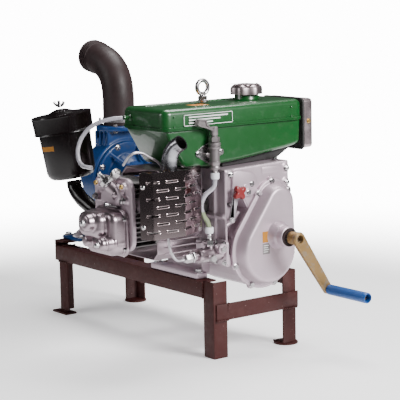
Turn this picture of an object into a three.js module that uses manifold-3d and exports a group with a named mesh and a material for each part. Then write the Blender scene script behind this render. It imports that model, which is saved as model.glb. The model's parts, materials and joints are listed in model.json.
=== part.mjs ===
// A diesel engine with one lying cylinder, its fuel tank on top, driving a centrifugal water pump.
// Both stand on a frame of welded angle iron.  All sizes are in millimetres.
// X runs along the shafts toward the starting handle, Y from the cylinder head toward the headlamp,
// and Z is up from the floor.
import * as THREE from 'three';
import Module from 'manifold-3d';
import { mergeVertices } from 'three/addons/utils/BufferGeometryUtils.js';

const wasm = await Module();
wasm.setup();

// ---- driving dimensions ----
const gap = 0.3;                                   // between touching pieces
const stand = { length: 700, depth: 250, height: 180, leaf: 40, iron: 4, barTop: 130, padTop: 195,
  middleX: -300 };
const crank = { y: 178, z: 355, throw: 34, journal: 16, disc: 46 };   // crankshaft axis
const cam = { y: 166, z: 281, shaft: 12, end: 8.7 };                  // camshaft and starting axis
const gears = { module: 3.125, crankTeeth: 16, camTeeth: 32, x0: -12, x1: 2 };
const cylinder = { x: -108, bore: 35.3, wall: 41, fin: 62, finPitch: 28, headY: -120 };
const rod = { length: 222, bigEnd: 19, smallEnd: 13, width: 22, pin: 11, wristPin: 9 };
const caseBox = { x0: -165, x1: -0.3, y0: 40, y1: 232, z1: 447, wall: 6 };
const cover = { lowY: 145, lowZ: 246, lowR: 93, highY: 178, highZ: 355, highR: 56, flange: 8, dome: 38 };
const boss = { base: 32, tip: 22, x1: 78 };
const handle = { x0: 106, x1: 116, hub: 16, sleeve: 13, endY: 255, endZ: 150, endR: 12, gripEnd: 249,
  gripR: 12.5, spindle: 6 };
const tank = { x0: -192, x1: -16, y0: -118, y1: 298, rim: 545, top: 594, skin: 3 };
const neck = { x: -104, y: 190, r: 28.5, top: 614, capR: 39, capTop: 640 };
const eye = { x: -104, y: 58, ringZ: 629, ringR: 16, wire: 5 };
const lamp = { x0: -175, x1: -25, y0: 305, y1: 333, z0: 470, z1: 590 };
const head = { x0: -184, x1: -32, y0: -200, z0: 275, z1: 441, plate: 10, fins: 5, finPitch: 30 };
const rocker = { x0: -168, x1: -50, z0: 266, z1: 368, depth: 58 };
const decompression = { y: -232, z: 322, side: rocker.x0 - gap, tipY: -262, tipZ: 306 };
const shroud = { x0: -190, x1: -26, y0: -118, y1: -8, z0: 242, z1: 452, skin: 2.5 };
const exhaust = { x: 4, y: -120, z: 449, r: 18 };
const injector = { tip: [-66, -193, 386], tail: [-113, -230, 449], side: [-98, -219, 430],
  union: [-62, -208, 463] };
const guard = { x: 30, z0: 310, z1: 460, sheet: 2, y0: -187, y1: -100, start: [3, -201.5],
  end: [-11.7, -22.5], rows: 6 };
const cleaner = { x: -329, y: -168, z0: 416, seam: 540, top: 569, bowlR: 62, lidR: 72, lean: 0.148 };
const fan = { x0: -262, x1: -197, r: 112, wheel: 98 };
const pump = { x: -640, half: 30, casing: 105, flangeZ: 495, flangeR: 62, bore: 36 };
const hose = { r: 43, inner: 36, endX: -768, endZ: 678 };

// ---- helpers: shapes to solids ----
const round = 16;
// Radius of a faceted bore that stays clear of a turning shaft of radius r.
const around = (r, sides = round) => (r + gap) / Math.cos(Math.PI / sides);

function solid(geometry) {
  const bare = geometry.index ? geometry.toNonIndexed() : geometry.clone();
  bare.deleteAttribute('normal');
  bare.deleteAttribute('uv');
  const merged = mergeVertices(bare, 1e-4);
  return new wasm.Manifold(new wasm.Mesh({
    numProp: 3,
    vertProperties: new Float32Array(merged.attributes.position.array),
    triVerts: new Uint32Array(merged.index.array),
  }));
}

function shell(result) {
  const mesh = result.getMesh();
  const geometry = new THREE.BufferGeometry();
  geometry.setAttribute('position', new THREE.BufferAttribute(new Float32Array(mesh.vertProperties), 3));
  geometry.setIndex(new THREE.BufferAttribute(new Uint32Array(mesh.triVerts), 1));
  geometry.computeVertexNormals();
  return geometry;
}

const join = (...pieces) => pieces.reduce((sum, piece) => sum.add(piece));
const cut = (body, ...tools) => tools.reduce((rest, tool) => rest.subtract(tool), body);

function block(x0, x1, y0, y1, z0, z1) {
  const geometry = new THREE.BoxGeometry(x1 - x0, y1 - y0, z1 - z0);
  return solid(geometry.translate((x0 + x1) / 2, (y0 + y1) / 2, (z0 + z1) / 2));
}

// A flat outline carried along one axis.  Its own two directions are Y,Z or X,Z or X,Y.
const frames = {
  x: new THREE.Matrix4().makeBasis(new THREE.Vector3(0, 1, 0), new THREE.Vector3(0, 0, 1),
    new THREE.Vector3(1, 0, 0)),
  y: new THREE.Matrix4().makeBasis(new THREE.Vector3(1, 0, 0), new THREE.Vector3(0, 0, 1),
    new THREE.Vector3(0, -1, 0)),
  z: new THREE.Matrix4(),
};

function sweep(shape, axis, from, to, { bevel = 0, rise = bevel, segments = 8 } = {}) {
  const geometry = new THREE.ExtrudeGeometry(shape, {
    depth: to - from - 2 * rise, steps: 1, curveSegments: segments, bevelEnabled: bevel > 0,
    bevelThickness: rise, bevelSize: bevel, bevelOffset: -bevel, bevelSegments: 1,
  });
  geometry.translate(0, 0, (axis === 'y' ? -to : from) + rise);
  return solid(geometry.applyMatrix4(frames[axis]));
}

function outline(points) {
  return new THREE.Shape(points.map(([a, b]) => new THREE.Vector2(a, b)));
}

function roundedRect(a0, a1, b0, b1, r) {
  const shape = new THREE.Shape();
  shape.absarc(a1 - r, b0 + r, r, -Math.PI / 2, 0);
  shape.absarc(a1 - r, b1 - r, r, 0, Math.PI / 2);
  shape.absarc(a0 + r, b1 - r, r, Math.PI / 2, Math.PI);
  shape.absarc(a0 + r, b0 + r, r, Math.PI, Math.PI * 1.5);
  return shape;
}

// Two circles and the straight lines that touch both, such as a link or the gear cover.
function link(a0, b0, r0, a1, b1, r1) {
  const along = Math.atan2(b1 - b0, a1 - a0);
  const lean = Math.acos((r0 - r1) / Math.hypot(a1 - a0, b1 - b0));
  const shape = new THREE.Shape();
  shape.absarc(a0, b0, r0, along + lean, along - lean + 2 * Math.PI);
  shape.absarc(a1, b1, r1, along - lean, along + lean);
  return shape;
}

// A turned piece: rows of [distance along the axis, radius] from one end to the other.
function turned(rows, axis, a = 0, b = 0, sides = round) {
  const profile = rows.map(([along, r]) => new THREE.Vector2(r, along));
  if (profile[0].x > 0 && profile[profile.length - 1].x > 0) profile.push(profile[0].clone());
  const geometry = new THREE.LatheGeometry(profile, sides);
  if (axis === 'x') geometry.rotateZ(-Math.PI / 2).translate(0, a, b);
  if (axis === 'y') geometry.translate(a, 0, b);
  if (axis === 'z') geometry.rotateX(Math.PI / 2).translate(a, b, 0);
  const piece = solid(geometry);
  return piece.volume() < 0 ? solid(flipped(geometry)) : piece;
}

function flipped(geometry) {
  const copy = geometry.clone();
  const index = copy.index.array;
  for (let i = 0; i < index.length; i += 3) [index[i], index[i + 1]] = [index[i + 1], index[i]];
  return copy;
}

function disc(axis, from, to, r, a, b, sides = round) {
  return turned([[from, 0], [from, r], [to, r], [to, 0]], axis, a, b, sides);
}

// A round bar or pipe along a smooth line through the given points.
function pipe(points, r, steps = 24, sides = 10) {
  const path = new THREE.CatmullRomCurve3(points.map((p) => new THREE.Vector3(...p)), false, 'centripetal');
  const section = new THREE.Shape();
  for (let i = 0; i <= sides; i += 1) {
    const angle = (i / sides) * 2 * Math.PI;
    const corner = [r * Math.cos(angle), r * Math.sin(angle)];
    if (i === 0) section.moveTo(...corner);
    else if (i < sides) section.lineTo(...corner);
  }
  return solid(new THREE.ExtrudeGeometry(section, { steps, bevelEnabled: false, extrudePath: path }));
}

// A turned piece whose axis runs from one point toward another.
function aimed(rows, from, to, sides = 12) {
  const profile = rows.map(([along, r]) => new THREE.Vector2(r, along));
  const geometry = new THREE.LatheGeometry(profile, sides);
  const start = new THREE.Vector3(...from);
  const aim = new THREE.Vector3(...to).sub(start).normalize();
  const turn = new THREE.Quaternion().setFromUnitVectors(new THREE.Vector3(0, 1, 0), aim);
  geometry.applyQuaternion(turn).translate(start.x, start.y, start.z);
  const piece = solid(geometry);
  return piece.volume() < 0 ? solid(flipped(geometry)) : piece;
}

// ---- the assembly ----
const machine = new THREE.Group();

const finishes = {
  maroon: { color: 0x5a2b28, roughness: 0.6, metalness: 0.1 },
  casting: { color: 0xb9b2b4, roughness: 0.42, metalness: 0.85 },
  steel: { color: 0xa6a6a8, roughness: 0.35, metalness: 0.95 },
  stainless: { color: 0x9c9089, roughness: 0.25, metalness: 1.0 },
  chrome: { color: 0xd8d8dc, roughness: 0.08, metalness: 1.0 },
  zinc: { color: 0xa8936a, roughness: 0.4, metalness: 0.9 },
  green: { color: 0x0c5a22, roughness: 0.22, metalness: 0.0 },
  pumpBlue: { color: 0x0a5fa8, roughness: 0.35, metalness: 0.0 },
  gripBlue: { color: 0x0c7fd0, roughness: 0.4, metalness: 0.0 },
  black: { color: 0x140d0d, roughness: 0.18, metalness: 0.0 },
  satinBlack: { color: 0x18181a, roughness: 0.6, metalness: 0.0 },
  rubber: { color: 0x2c2224, roughness: 0.7, metalness: 0.0 },
  red: { color: 0xc01420, roughness: 0.35, metalness: 0.0 },
  clear: { color: 0xc8cfd8, roughness: 0.15, metalness: 0.0 },
};

function add(name, finish, result) {
  const mesh = new THREE.Mesh(shell(result), new THREE.MeshStandardMaterial(finishes[finish]));
  mesh.name = name;
  machine.add(mesh);
  return result;
}

// ---- stand ----
function buildStand() {
  const { length, depth, height, leaf, iron, barTop, padTop, middleX } = stand;
  const legInset = 20;                        // of the two legs at the pump end
  const beamEnd = -leaf - gap;                // the near beam ends behind the full-height corner leg
  const nearBeam = (x0, x1) => join(block(x0, x1, 0, iron, height - leaf, height),
    block(x0, x1, 0, leaf, height - iron, height));
  add('near_beam', 'maroon', nearBeam(-length, beamEnd));
  const farBeam = join(block(-length, beamEnd, depth - iron, depth, height - leaf, height),
    block(-length, beamEnd, depth - leaf, depth, height - iron, height));
  add('far_beam', 'maroon', farBeam);

  // A leg is an angle whose corner is at (x, y), with leaves toward +dx and +dy.
  const leg = (x, y, dx, dy, z0, z1) => join(
    block(Math.min(x, x + dx * leaf), Math.max(x, x + dx * leaf), Math.min(y, y + dy * iron),
      Math.max(y, y + dy * iron), z0, z1),
    block(Math.min(x, x + dx * iron), Math.max(x, x + dx * iron), Math.min(y, y + dy * leaf),
      Math.max(y, y + dy * leaf), z0, z1));
  const underBeam = height - leaf - gap;
  add('leg_near_handle', 'maroon', leg(0, 0, -1, 1, 0, height + 3));
  add('leg_far_handle', 'maroon', join(leg(0, depth, -1, -1, 4, height + 3),
    disc('z', 0, 5, 30, -leaf / 2 + 2, depth - leaf / 2 + 2)));
  add('leg_near_pump', 'maroon', join(leg(-length + legInset, 0, 1, 1, 4, underBeam),
    block(-length, -length + legInset + leaf + 8, -14, 20, 0, 5)));
  add('leg_far_pump', 'maroon', join(leg(-length + legInset, depth, 1, -1, 4, underBeam),
    disc('z', 0, 5, 30, -length + legInset + leaf / 2, depth - leaf / 2)));

  // Handle-end bar, welded across the outside of the two corner legs.
  add('handle_end_bar', 'maroon', join(block(gap, gap + iron, 6, depth + 4, barTop - leaf, barTop)));
  // Angle laid across the top of the beams; the pump stands on it.
  add('pump_end_bar', 'maroon', join(block(-length, -length + leaf, 0, depth, padTop - iron, padTop),
    block(-length, -length + iron, 0, depth, height + gap, padTop)));
  const under = height - iron - gap;
  add('middle_bar', 'maroon', join(
    block(middleX - leaf, middleX, iron + gap, depth - iron - gap, under - iron, under),
    block(middleX - iron, middleX, iron + gap, depth - iron - gap, under - leaf, under)));
}

// ---- crankcase, gear cover and back cover ----
function coverShape(inset) {
  const { lowY, lowZ, lowR, highY, highZ, highR } = cover;
  return link(lowY, lowZ, lowR - inset, highY, highZ, highR - inset);
}

function coverBolts(r, x0, x1, inset, sides = 6) {
  const { lowY, lowZ, lowR, highY, highZ, highR } = cover;
  const low = [200, 245, 292, 335].map((deg) => [lowY, lowZ, lowR, deg]);
  const high = [150, 95, 28].map((deg) => [highY, highZ, highR, deg]);
  return [...low, ...high].map(([y, z, radius, deg]) => {
    const angle = (deg * Math.PI) / 180;
    return disc('x', x0, x1, r, y + (radius - inset) * Math.cos(angle),
      z + (radius - inset) * Math.sin(angle), sides);
  });
}

function buildCase() {
  const { x0, x1, y0, y1, z1, wall } = caseBox;
  const upper = sweep(outline([[y0, 215], [y1, 215], [y1, 450], [y0, 443]]), 'x', x0, x1);
  const lower = cut(sweep(coverShape(2), 'x', x0 + 12, x1, { segments: 6 }),
    block(x0, -30, y1, y1 + 20, 285, 460));
  const feet = join(block(-257, -67, 3, 36, 180 + gap, 196), block(-257, -67, 214, 247, 180 + gap, 196),
    block(-230, -90, 36, 60, 184, 230), block(-230, -90, 190, 214, 184, 230));
  let body = join(upper, lower, feet);
  // Crank chamber, timing chest, sump, bores for both shafts, and the window behind the crank.
  const chamber = block(x0 + 15, -22, y0 + wall, y1 - wall, 215 + wall, z1 - 14);
  const sump = disc('x', x0 + 20, -22, 82, cover.lowY, cover.lowZ, round);
  const chest = sweep(coverShape(10), 'x', -16, x1 + 1, { segments: 6 });
  const window = block(-146, -34, y1 - wall - 1, y1 + 1, 298, 412);
  body = cut(body, chamber, sump, chest, window,
    disc('x', x0 - 1, 0, around(crank.journal), crank.y, crank.z),
    disc('x', x0 + 6, 0, around(cam.shaft), cam.y, cam.z),
    disc('y', y0 - 1, y0 + wall + 1, around(cylinder.wall), cylinder.x, crank.z));
  add('crankcase', 'casting', body);

  // Back cover: a dished plate over the window, with its bolts.
  const plate = sweep(roundedRect(-150, -30, 292, 418, 12), 'y', y1 + gap, y1 + 14,
    { bevel: 5, rise: 5, segments: 3 });
  const dish = block(-132, -48, y1, y1 + 8, 306, 404);
  const nuts = [[-141, 301], [-39, 301], [-141, 409], [-39, 409], [-90, 301], [-90, 409]]
    .map(([x, z]) => disc('y', y1 + 5, y1 + 20, 6, x, z, 6));
  add('back_cover', 'casting', cut(join(plate, ...nuts), dish));
}

function buildGearCover() {
  const { flange, dome } = cover;
  const plate = sweep(coverShape(0), 'x', 0, flange, { segments: 8 });
  const raised = sweep(coverShape(8), 'x', -dome, dome, { bevel: 11, rise: 26, segments: 8 });
  const bossCone = turned([[dome - 4, 0], [dome - 4, boss.base], [dome + 5, boss.base - 2],
    [dome + 12, boss.tip + 3], [boss.x1, boss.tip], [boss.x1, 0]], 'x', cam.y, cam.z);
  const hollow = sweep(coverShape(12), 'x', -dome + 4, dome - 4, { bevel: 11, rise: 26, segments: 8 });
  const trim = block(-60, 0, 0, 300, 100, 460);
  const bolts = coverBolts(7, 0, flange + 6, 6);
  const body = cut(join(plate, raised, bossCone, ...bolts), hollow, trim,
    disc('x', 20, boss.x1 + 1, around(cam.shaft), cam.y, cam.z));
  add('gear_cover', 'casting', body);
  add('shaft_seal', 'satinBlack', turned([[boss.x1 + gap, around(cam.shaft)], [boss.x1 + gap, boss.tip + 1],
    [boss.x1 + 6, boss.tip + 1], [boss.x1 + 6, around(cam.shaft)]], 'x', cam.y, cam.z));
}

// ---- crankshaft, rod and piston, camshaft and gears ----
function gearShape(teeth, phase) {
  const pitch = (gears.module * teeth) / 2;
  const tip = pitch + 1.9;
  const root = pitch - 2.9;
  const step = (2 * Math.PI) / teeth;
  const points = [];
  for (let i = 0; i < teeth; i += 1) {
    const middle = phase + i * step;
    [[root, -0.3], [tip, -0.13], [tip, 0.13], [root, 0.3]].forEach(([r, part]) => {
      points.push([r * Math.cos(middle + part * step), r * Math.sin(middle + part * step)]);
    });
  }
  return points;
}

function gear(teeth, phase, y, z) {
  return sweep(outline(gearShape(teeth, phase).map(([a, b]) => [a + y, b + z])), 'x', gears.x0, gears.x1);
}

function buildCrank() {
  const { x } = cylinder;
  const inner = rod.width / 2 + 2;
  const pinY = crank.y - crank.throw;
  const web = 14;
  // The half toward the gear cover has the timing gear cut on it.
  const toCam = Math.atan2(cam.z - crank.z, cam.y - crank.y) + Math.PI / gears.crankTeeth;
  add('crankshaft_gear_half', 'steel', join(
    disc('x', x + inner + gap, x + inner + web, crank.disc, crank.y, crank.z),
    disc('x', x + inner + web - 1, 6, crank.journal, crank.y, crank.z),
    gear(gears.crankTeeth, toCam, crank.y, crank.z)));
  add('crankshaft_fan_half', 'steel', join(
    disc('x', x - inner - web, x - inner - gap, crank.disc, crank.y, crank.z),
    disc('x', fan.x0 - 20, x - inner - web + 1, crank.journal, crank.y, crank.z, 20)));
  add('crank_pin', 'steel', disc('x', x - inner + gap, x + inner - gap, rod.pin, pinY, crank.z, 16));

  // The rod lies along the cylinder, with the crank at its outer dead centre.
  const wristY = pinY - rod.length;
  const half = rod.width / 2;
  const bars = join(disc('x', x - half, x + half, rod.bigEnd, pinY, crank.z),
    disc('x', x - half, x + half, rod.smallEnd, wristY, crank.z, 12),
    block(x - 5, x + 5, wristY, pinY, crank.z - 8, crank.z + 8));
  add('connecting_rod', 'steel', cut(bars,
    disc('x', x - half - 1, x + half + 1, around(rod.pin), pinY, crank.z),
    disc('x', x - half - 1, x + half + 1, around(rod.wristPin), wristY, crank.z)));
  add('piston_pin', 'steel', disc('x', x - 31, x + 31, rod.wristPin, wristY, crank.z, 16));
  const crown = wristY - 40;
  const skirt = turned([[crown, 0], [crown, 35], [crown + 6, 35], [crown + 6, 33.5], [crown + 9, 33.5],
    [crown + 9, 35], [crown + 80, 35], [crown + 80, 30], [crown + 10, 30], [crown + 10, 0]], 'y', x, crank.z);
  add('piston', 'casting', cut(skirt,
    disc('x', x - 40, x + 40, around(rod.wristPin), wristY, crank.z)));
}

function buildCamshaft() {
  const lobe = (x0, x1, deg) => {
    const angle = (deg * Math.PI) / 180;
    return sweep(link(cam.y, cam.z, 15, cam.y + 11 * Math.cos(angle), cam.z + 11 * Math.sin(angle), 8),
      'x', x0, x1, { segments: 3 });
  };
  add('camshaft', 'steel', join(turned([[-155, 0], [-155, cam.shaft], [84, cam.shaft], [84, cam.end],
    [104, cam.end], [104, 0]], 'x', cam.y, cam.z), lobe(-138, -126, 200), lobe(-92, -80, 90),
  lobe(-46, -36, 320)));
  const toCrank = Math.atan2(crank.z - cam.z, crank.y - cam.y);
  add('cam_gear', 'steel', cut(gear(gears.camTeeth, toCrank, cam.y, cam.z),
    disc('x', gears.x0 - 1, gears.x1 + 1, around(cam.shaft), cam.y, cam.z)));
}

// ---- starting handle ----
function buildHandle() {
  const { x0, x1, hub, sleeve: sleeveR, endY, endZ, endR, gripEnd, gripR, spindle: spindleR } = handle;
  const arm = sweep(link(cam.y, cam.z, hub, endY, endZ, endR), 'x', x0, x1, { segments: 6 });
  const sleeve = disc('x', boss.x1 + 7, x0 + 1, sleeveR, cam.y, cam.z);
  const spindle = join(disc('x', x1 - 1, gripEnd - 20, spindleR, endY, endZ, 12),
    disc('x', gripEnd - 20.5, gripEnd - 14, 8, endY, endZ, 12));
  add('crank_handle', 'zinc', cut(join(arm, sleeve, spindle),
    disc('x', boss.x1, x1 + 1, around(cam.end), cam.y, cam.z)));
  add('handle_grip', 'gripBlue', turned([[x1 + gap, around(spindleR)], [x1 + gap, gripR], [gripEnd - 2, gripR],
    [gripEnd, gripR - 1.5], [gripEnd, 9.5], [gripEnd - 21, 9.5], [gripEnd - 21, around(spindleR)]], 'x',
    endY, endZ));
}

// ---- barrel, head, rocker cover, shroud ----
function buildCylinder() {
  const { x, bore, wall, fin, finPitch, headY } = cylinder;
  const rows = [[headY, wall]];
  for (let y = headY + 8; y < 22; y += finPitch) rows.push([y, wall], [y, fin], [y + 5, fin], [y + 5, wall]);
  rows.push([70, wall], [70, around(bore - gap)], [headY, around(bore - gap)]);
  add('barrel', 'casting', turned(rows, 'y', x, crank.z));
}

function headOutline(inset) {
  const { x0, x1, z0, z1 } = head;
  return roundedRect(x0 + inset, x1 - inset, z0 + inset, z1 - inset, 26 - inset);
}

function buildHead() {
  const { x0, x1, y0, z0, z1, plate, fins, finPitch } = head;
  const base = cylinder.headY - gap;
  const faceplate = sweep(headOutline(0), 'y', y0, y0 + plate, { segments: 4 });
  const gasketPlate = sweep(headOutline(8), 'y', base - 8, base, { segments: 3 });
  const core = sweep(roundedRect(x0 + 28, x1 - 28, z0 + 14, z1 - 14, 20), 'y', y0 + 8, base - 4,
    { segments: 2 });
  const pieces = [faceplate, gasketPlate, core];
  for (let i = 0; i < fins; i += 1) {
    const z = z0 + 16 + i * finPitch;
    pieces.push(block(x0 + 8, x1 - 8, y0 + 8, base - 6, z, z + 8));
  }
  // Exhaust port toward the silencer and intake port on the other side.
  pieces.push(disc('x', x1 - 40, x1 + 8, 24, -158, 382, 16), disc('x', x0 - 6, x0 + 40, 22, -165, 340, 16));
  const ports = [disc('x', x1 - 30, x1 + 9, 16, -158, 382, 12), disc('x', x0 - 7, x0 + 30, 15, -165, 340, 12)];
  // Slanting seat of the injector.
  const seat = aimed([[-2, 0], [-2, 11 + gap], [60, 11 + gap], [60, 0]], injector.tip, injector.tail);
  add('cylinder_head', 'casting', cut(join(...pieces), ...ports, seat));
}

function buildRockerCover() {
  const back = head.y0 - gap;
  const { x0, x1, z0, z1, depth } = rocker;
  const flange = sweep(roundedRect(x0 - 6, x1 + 6, z0 - 4, z1 + 4, 14), 'y', back - 8, back, { segments: 3 });
  const box = sweep(roundedRect(x0, x1, z0, z1, 22), 'y', back - depth, back - 2, { bevel: 14, segments: 3 });
  const highHump = disc('y', back - 84, back - 10, 25, -104, 348);
  const lowHump = disc('y', back - 70, back - 10, 18, -70, 300, 12);
  const nuts = [[-104, 348, 94], [-70, 300, 80]].map(([x, z, out]) => disc('y', back - out, back - 60, 8, x, z, 6));
  add('rocker_cover', 'casting', cut(join(flange, box, highHump, lowHump, ...nuts),
    block(x0 + 14, x1 - 14, back - depth + 16, back + 1, z0 + 14, z1 - 14)));
  // Decompression lever on the end of the cover.
  const { y, z, side, tipY, tipZ } = decompression;
  add('decompression_lever', 'steel', join(
    sweep(link(y, z, 9, tipY, tipZ, 5), 'x', side - 5, side, { segments: 4 }),
    disc('x', side - 9, side - 4, 6, y, z, 6), disc('x', side - 9, side - 4, 5, tipY, tipZ, 8)));
}

function shroudShape(inset) {
  const { x0, x1, z0, z1 } = shroud;
  const corner = 16;
  const low = z0 + inset;
  const high = z1 - inset;
  const back = x0 + inset;
  const front = x1 - inset;
  const step = front - 26;                         // the lower part is narrower, clear of the fuel pump
  return outline([[back, low + corner], [back + corner, low], [step - corner, low], [step, low + corner],
    [step, 288], [front, 304], [front, high - corner], [front - corner, high], [back + corner, high],
    [back, high - corner]]);
}

function buildShroud() {
  const { x0, x1, y0, y1, skin } = shroud;
  const outlet = block(x1 - 30, x1 + 1, -104, -20, 312, 420);
  const inlet = block(x0 - 1, x0 + 30, -104, -20, 285, 425);
  add('cylinder_shroud', 'casting', cut(sweep(shroudShape(0), 'y', y0, y1),
    sweep(shroudShape(skin), 'y', y0 - 1, y1 + 1), outlet, inlet));
}

// ---- silencer, guard and exhaust ----
function buildExhaust() {
  const { x, y, z, r } = exhaust;
  const port = { y: -158, z: 382 };                // of the head
  const can = sweep(roundedRect(-12, 24, 318, 446, 12), 'y', -182, -100, { bevel: 6, segments: 2 });
  const hollow = sweep(roundedRect(-9, 21, 321, 443, 9), 'y', -176, -108, { segments: 2 });
  add('silencer', 'steel', cut(join(can, disc('x', head.x1 + 8 + gap, -8, 20, port.y, port.z, 12),
    disc('z', 440, z + 8, r + 3.5, x, y, 12)), hollow, disc('z', 435, z + 9, around(r, 12), x, y, 12),
  disc('x', head.x1, 0, 15, port.y, port.z, 12)));

  // The guard is one sheet bent twice, with staggered slots.
  const { x: front, z0, z1, sheet, y0, y1, start, end, rows } = guard;
  const plan = outline([start, [front, y0], [front, y1], end, [end[0] - sheet, end[1] - 1],
    [front - sheet, y1 - 1], [front - sheet, y0 + 1], [start[0], start[1] + 1.2 * sheet]]);
  const slots = [];
  const pitch = (z1 - z0 - 14) / rows;
  for (let row = 0; row < rows; row += 1) {
    const z = z0 + 16 + row * pitch;
    const shift = row % 2 ? 12 : 0;
    for (let at = y0 + 8 + shift; at < y1 - 14; at += 25) {
      slots.push(block(front - 4, front + 2, at, at + 15, z, z + 4));
    }
    for (let at = y1 + 10 + shift; at < end[1] - 14; at += 25) {
      slots.push(block(end[0] - 4, front + 2, at, at + 9, z, z + 4));
    }
  }
  add('silencer_guard', 'stainless', cut(sweep(plan, 'z', z0, z1), ...slots));

  const bend = (last) => [[x, y, z], [x, y, z + 24], [x + 4, y + 1, z + 44], [x + 16, y + 5, z + 62], last];
  const outer = bend([x + 34, y + 10, z + 74]);
  const bore = bend([x + 40, y + 12, z + 77]);
  bore[0] = [x, y, z - 8];
  add('exhaust_pipe', 'chrome', cut(pipe(outer, r, 9, 12), pipe(bore, r - 2, 9, 12)));
}

// ---- air cleaner ----
const cleanerTilt = new THREE.Matrix4().makeTranslation(cleaner.x, cleaner.y, cleaner.z0)
  .multiply(new THREE.Matrix4().makeRotationAxis(new THREE.Vector3(0.8, -0.6, 0), cleaner.lean));

function tilted(rows, sides = round) {
  const profile = rows.map(([z, r]) => new THREE.Vector2(r, z - cleaner.z0));
  if (profile[0].x > 0 && profile[profile.length - 1].x > 0) profile.push(profile[0].clone());
  const geometry = new THREE.LatheGeometry(profile, sides).rotateX(Math.PI / 2).applyMatrix4(cleanerTilt);
  const piece = solid(geometry);
  return piece.volume() < 0 ? solid(flipped(geometry)) : piece;
}

function buildAirCleaner() {
  const { z0, seam, top, bowlR, lidR } = cleaner;
  add('air_cleaner_bowl', 'black', tilted([[z0, 0], [z0, bowlR - 12], [z0 + 12, bowlR - 4], [seam - 14, bowlR],
    [seam + 10, bowlR], [seam + 10, bowlR - 4], [z0 + 14, bowlR - 12], [z0 + 5, 0]]));
  add('air_cleaner_lid', 'black', tilted([[seam - 8, bowlR + gap], [seam - 10, lidR], [top, lidR + 1],
    [top + 4, lidR - 3], [top + 2, 40], [top + 14, 24], [top + 17, 0], [top + 11, 0], [top + 2, 24],
    [top - 3, bowlR + gap]]));
  const stud = tilted([[top + 17 + gap, 0], [top + 17 + gap, 6], [top + 24, 6], [top + 24, 4], [top + 33, 4],
    [top + 33, 0]], 10);
  const wing = new THREE.BoxGeometry(34, 3.5, 9).translate(0, 0, top + 27 - z0).applyMatrix4(cleanerTilt);
  add('wing_nut', 'steel', join(stud, solid(wing)));
  const route = [[cleaner.x + 2, cleaner.y + 2, 406], [cleaner.x + 5, cleaner.y + 2, 396], [-300, -168, 375],
    [-264, -167, 356], [-228, -165, 342], [-206, -165, 340], [head.x0 - 6.8, -165, 340]];
  add('intake_pipe', 'black', cut(pipe(route, 18, 12, 10), pipe([[-212, -165, 340], [-150, -165, 340]], 14, 1, 10)));
}

// ---- fuel system ----
const fuelPump = { x: -14, z: 249, inletY: 2, inletZ: 298, outY: -71 };

function buildFuelPump() {
  // The body lies toward -Y, its inlet stands up and its outlet union is at the end.
  const { x, z, inletY, inletZ, outY } = fuelPump;
  const flange = sweep(roundedRect(x - 24, x + 24, z - 30, z + 30, 8), 'y', 33, caseBox.y0 - gap,
    { segments: 3 });
  const bolts = [[-17, -22], [17, -22], [-17, 22], [17, 22]]
    .map(([dx, dz]) => disc('y', 27, 34, 6, x + dx, z + dz, 6));
  const barrelBody = turned([[outY, 0], [outY, 9.5], [-52, 9.5], [-52, 13], [-46, 13], [-46, 10.5], [-34, 10.5],
    [-34, 17], [34, 17], [34, 0]], 'y', x, z, 10);
  const inlet = turned([[z, 0], [z, 10], [272, 10], [272, 13], [284, 13], [284, 7], [inletZ, 7], [inletZ, 0]],
    'z', x, inletY, 8);
  const bleed = turned([[x, 0], [x, 8], [x + 20, 8], [x + 20, 11], [x + 30, 11], [x + 30, 0]], 'x', -6, z - 6, 8);
  add('injection_pump', 'steel', join(flange, ...bolts, barrelBody, inlet, bleed));
}

function buildInjector() {
  const { tip, tail, side, union } = injector;
  const body = aimed([[0, 0], [0, 11], [60, 11], [60, 13], [72, 13], [72, 8], [83, 8], [83, 4.5],
    [92, 4.5], [92, 0]], tip, tail, 12);
  const inlet = aimed([[0, 0], [0, 8], [24, 8], [24, 11], [42, 11], [42, 6], [46, 6], [46, 0]], side, union, 8);
  const clamp = cut(aimed([[22, 0], [22, 19], [32, 19], [32, 0]], tip, tail, 8),
    block(-200, 0, head.y0 - gap, -100, 300, 500));
  add('injector', 'steel', join(body, inlet, clamp));
}

function buildLines() {
  const { x, z, inletY, inletZ, outY } = fuelPump;
  // Steel line: out of the pump, up past the cylinder, over the top and down to the injector.
  const top = injector.union;
  add('high_pressure_line', 'steel', pipe([[x, outY - gap, z - 4], [x, outY - 14, z - 4], [x + 2, -98, z + 2],
    [-21, -108, z + 22], [-20.8, -112, 330], [-20.8, -114, 440], [-24, -124, 468], [-32, -150, 488],
    [-36, -172, 499], [-40, -192, 496], [-50, -202, 480], [top[0] + 8, top[1] + 3, top[2] + 9]], 3.2, 32, 6));
  // Clear hose from the fuel cock to the pump, with a ferrule at each end.
  const ferrule = (from, px, py) => disc('z', from, from + 15, 10.5, px, py, 12);
  add('fuel_hose', 'clear', join(ferrule(inletZ + gap, x, inletY), ferrule(cock.z0 - 15 - gap, cock.x, cock.y),
    pipe([[cock.x, cock.y, cock.z0 - 14], [cock.x - 1, cock.y - 3, 408], [-15, -7, 388], [-19, -16, 366],
      [-18, -12, 344], [x - 1, inletY - 3, 324], [x, inletY, inletZ + 14]], 5.5, 15, 7)));
  // Clear leak-off hose from the injector back to the top of the tank.
  add('return_hose', 'clear', pipe([[-128, -241, 463], [-136, -245, 464], [-163, -244, 466], [-192, -236, 480],
    [-207, -226, 502], [-205, -212, 530], [-190, -192, 553], [-170, -160, 565], [-158, -134, 567]], 5, 24, 7));
}

const cock = { x: -4, y: 14, z0: 440, plateX: -27, lug: 33 };

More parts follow.
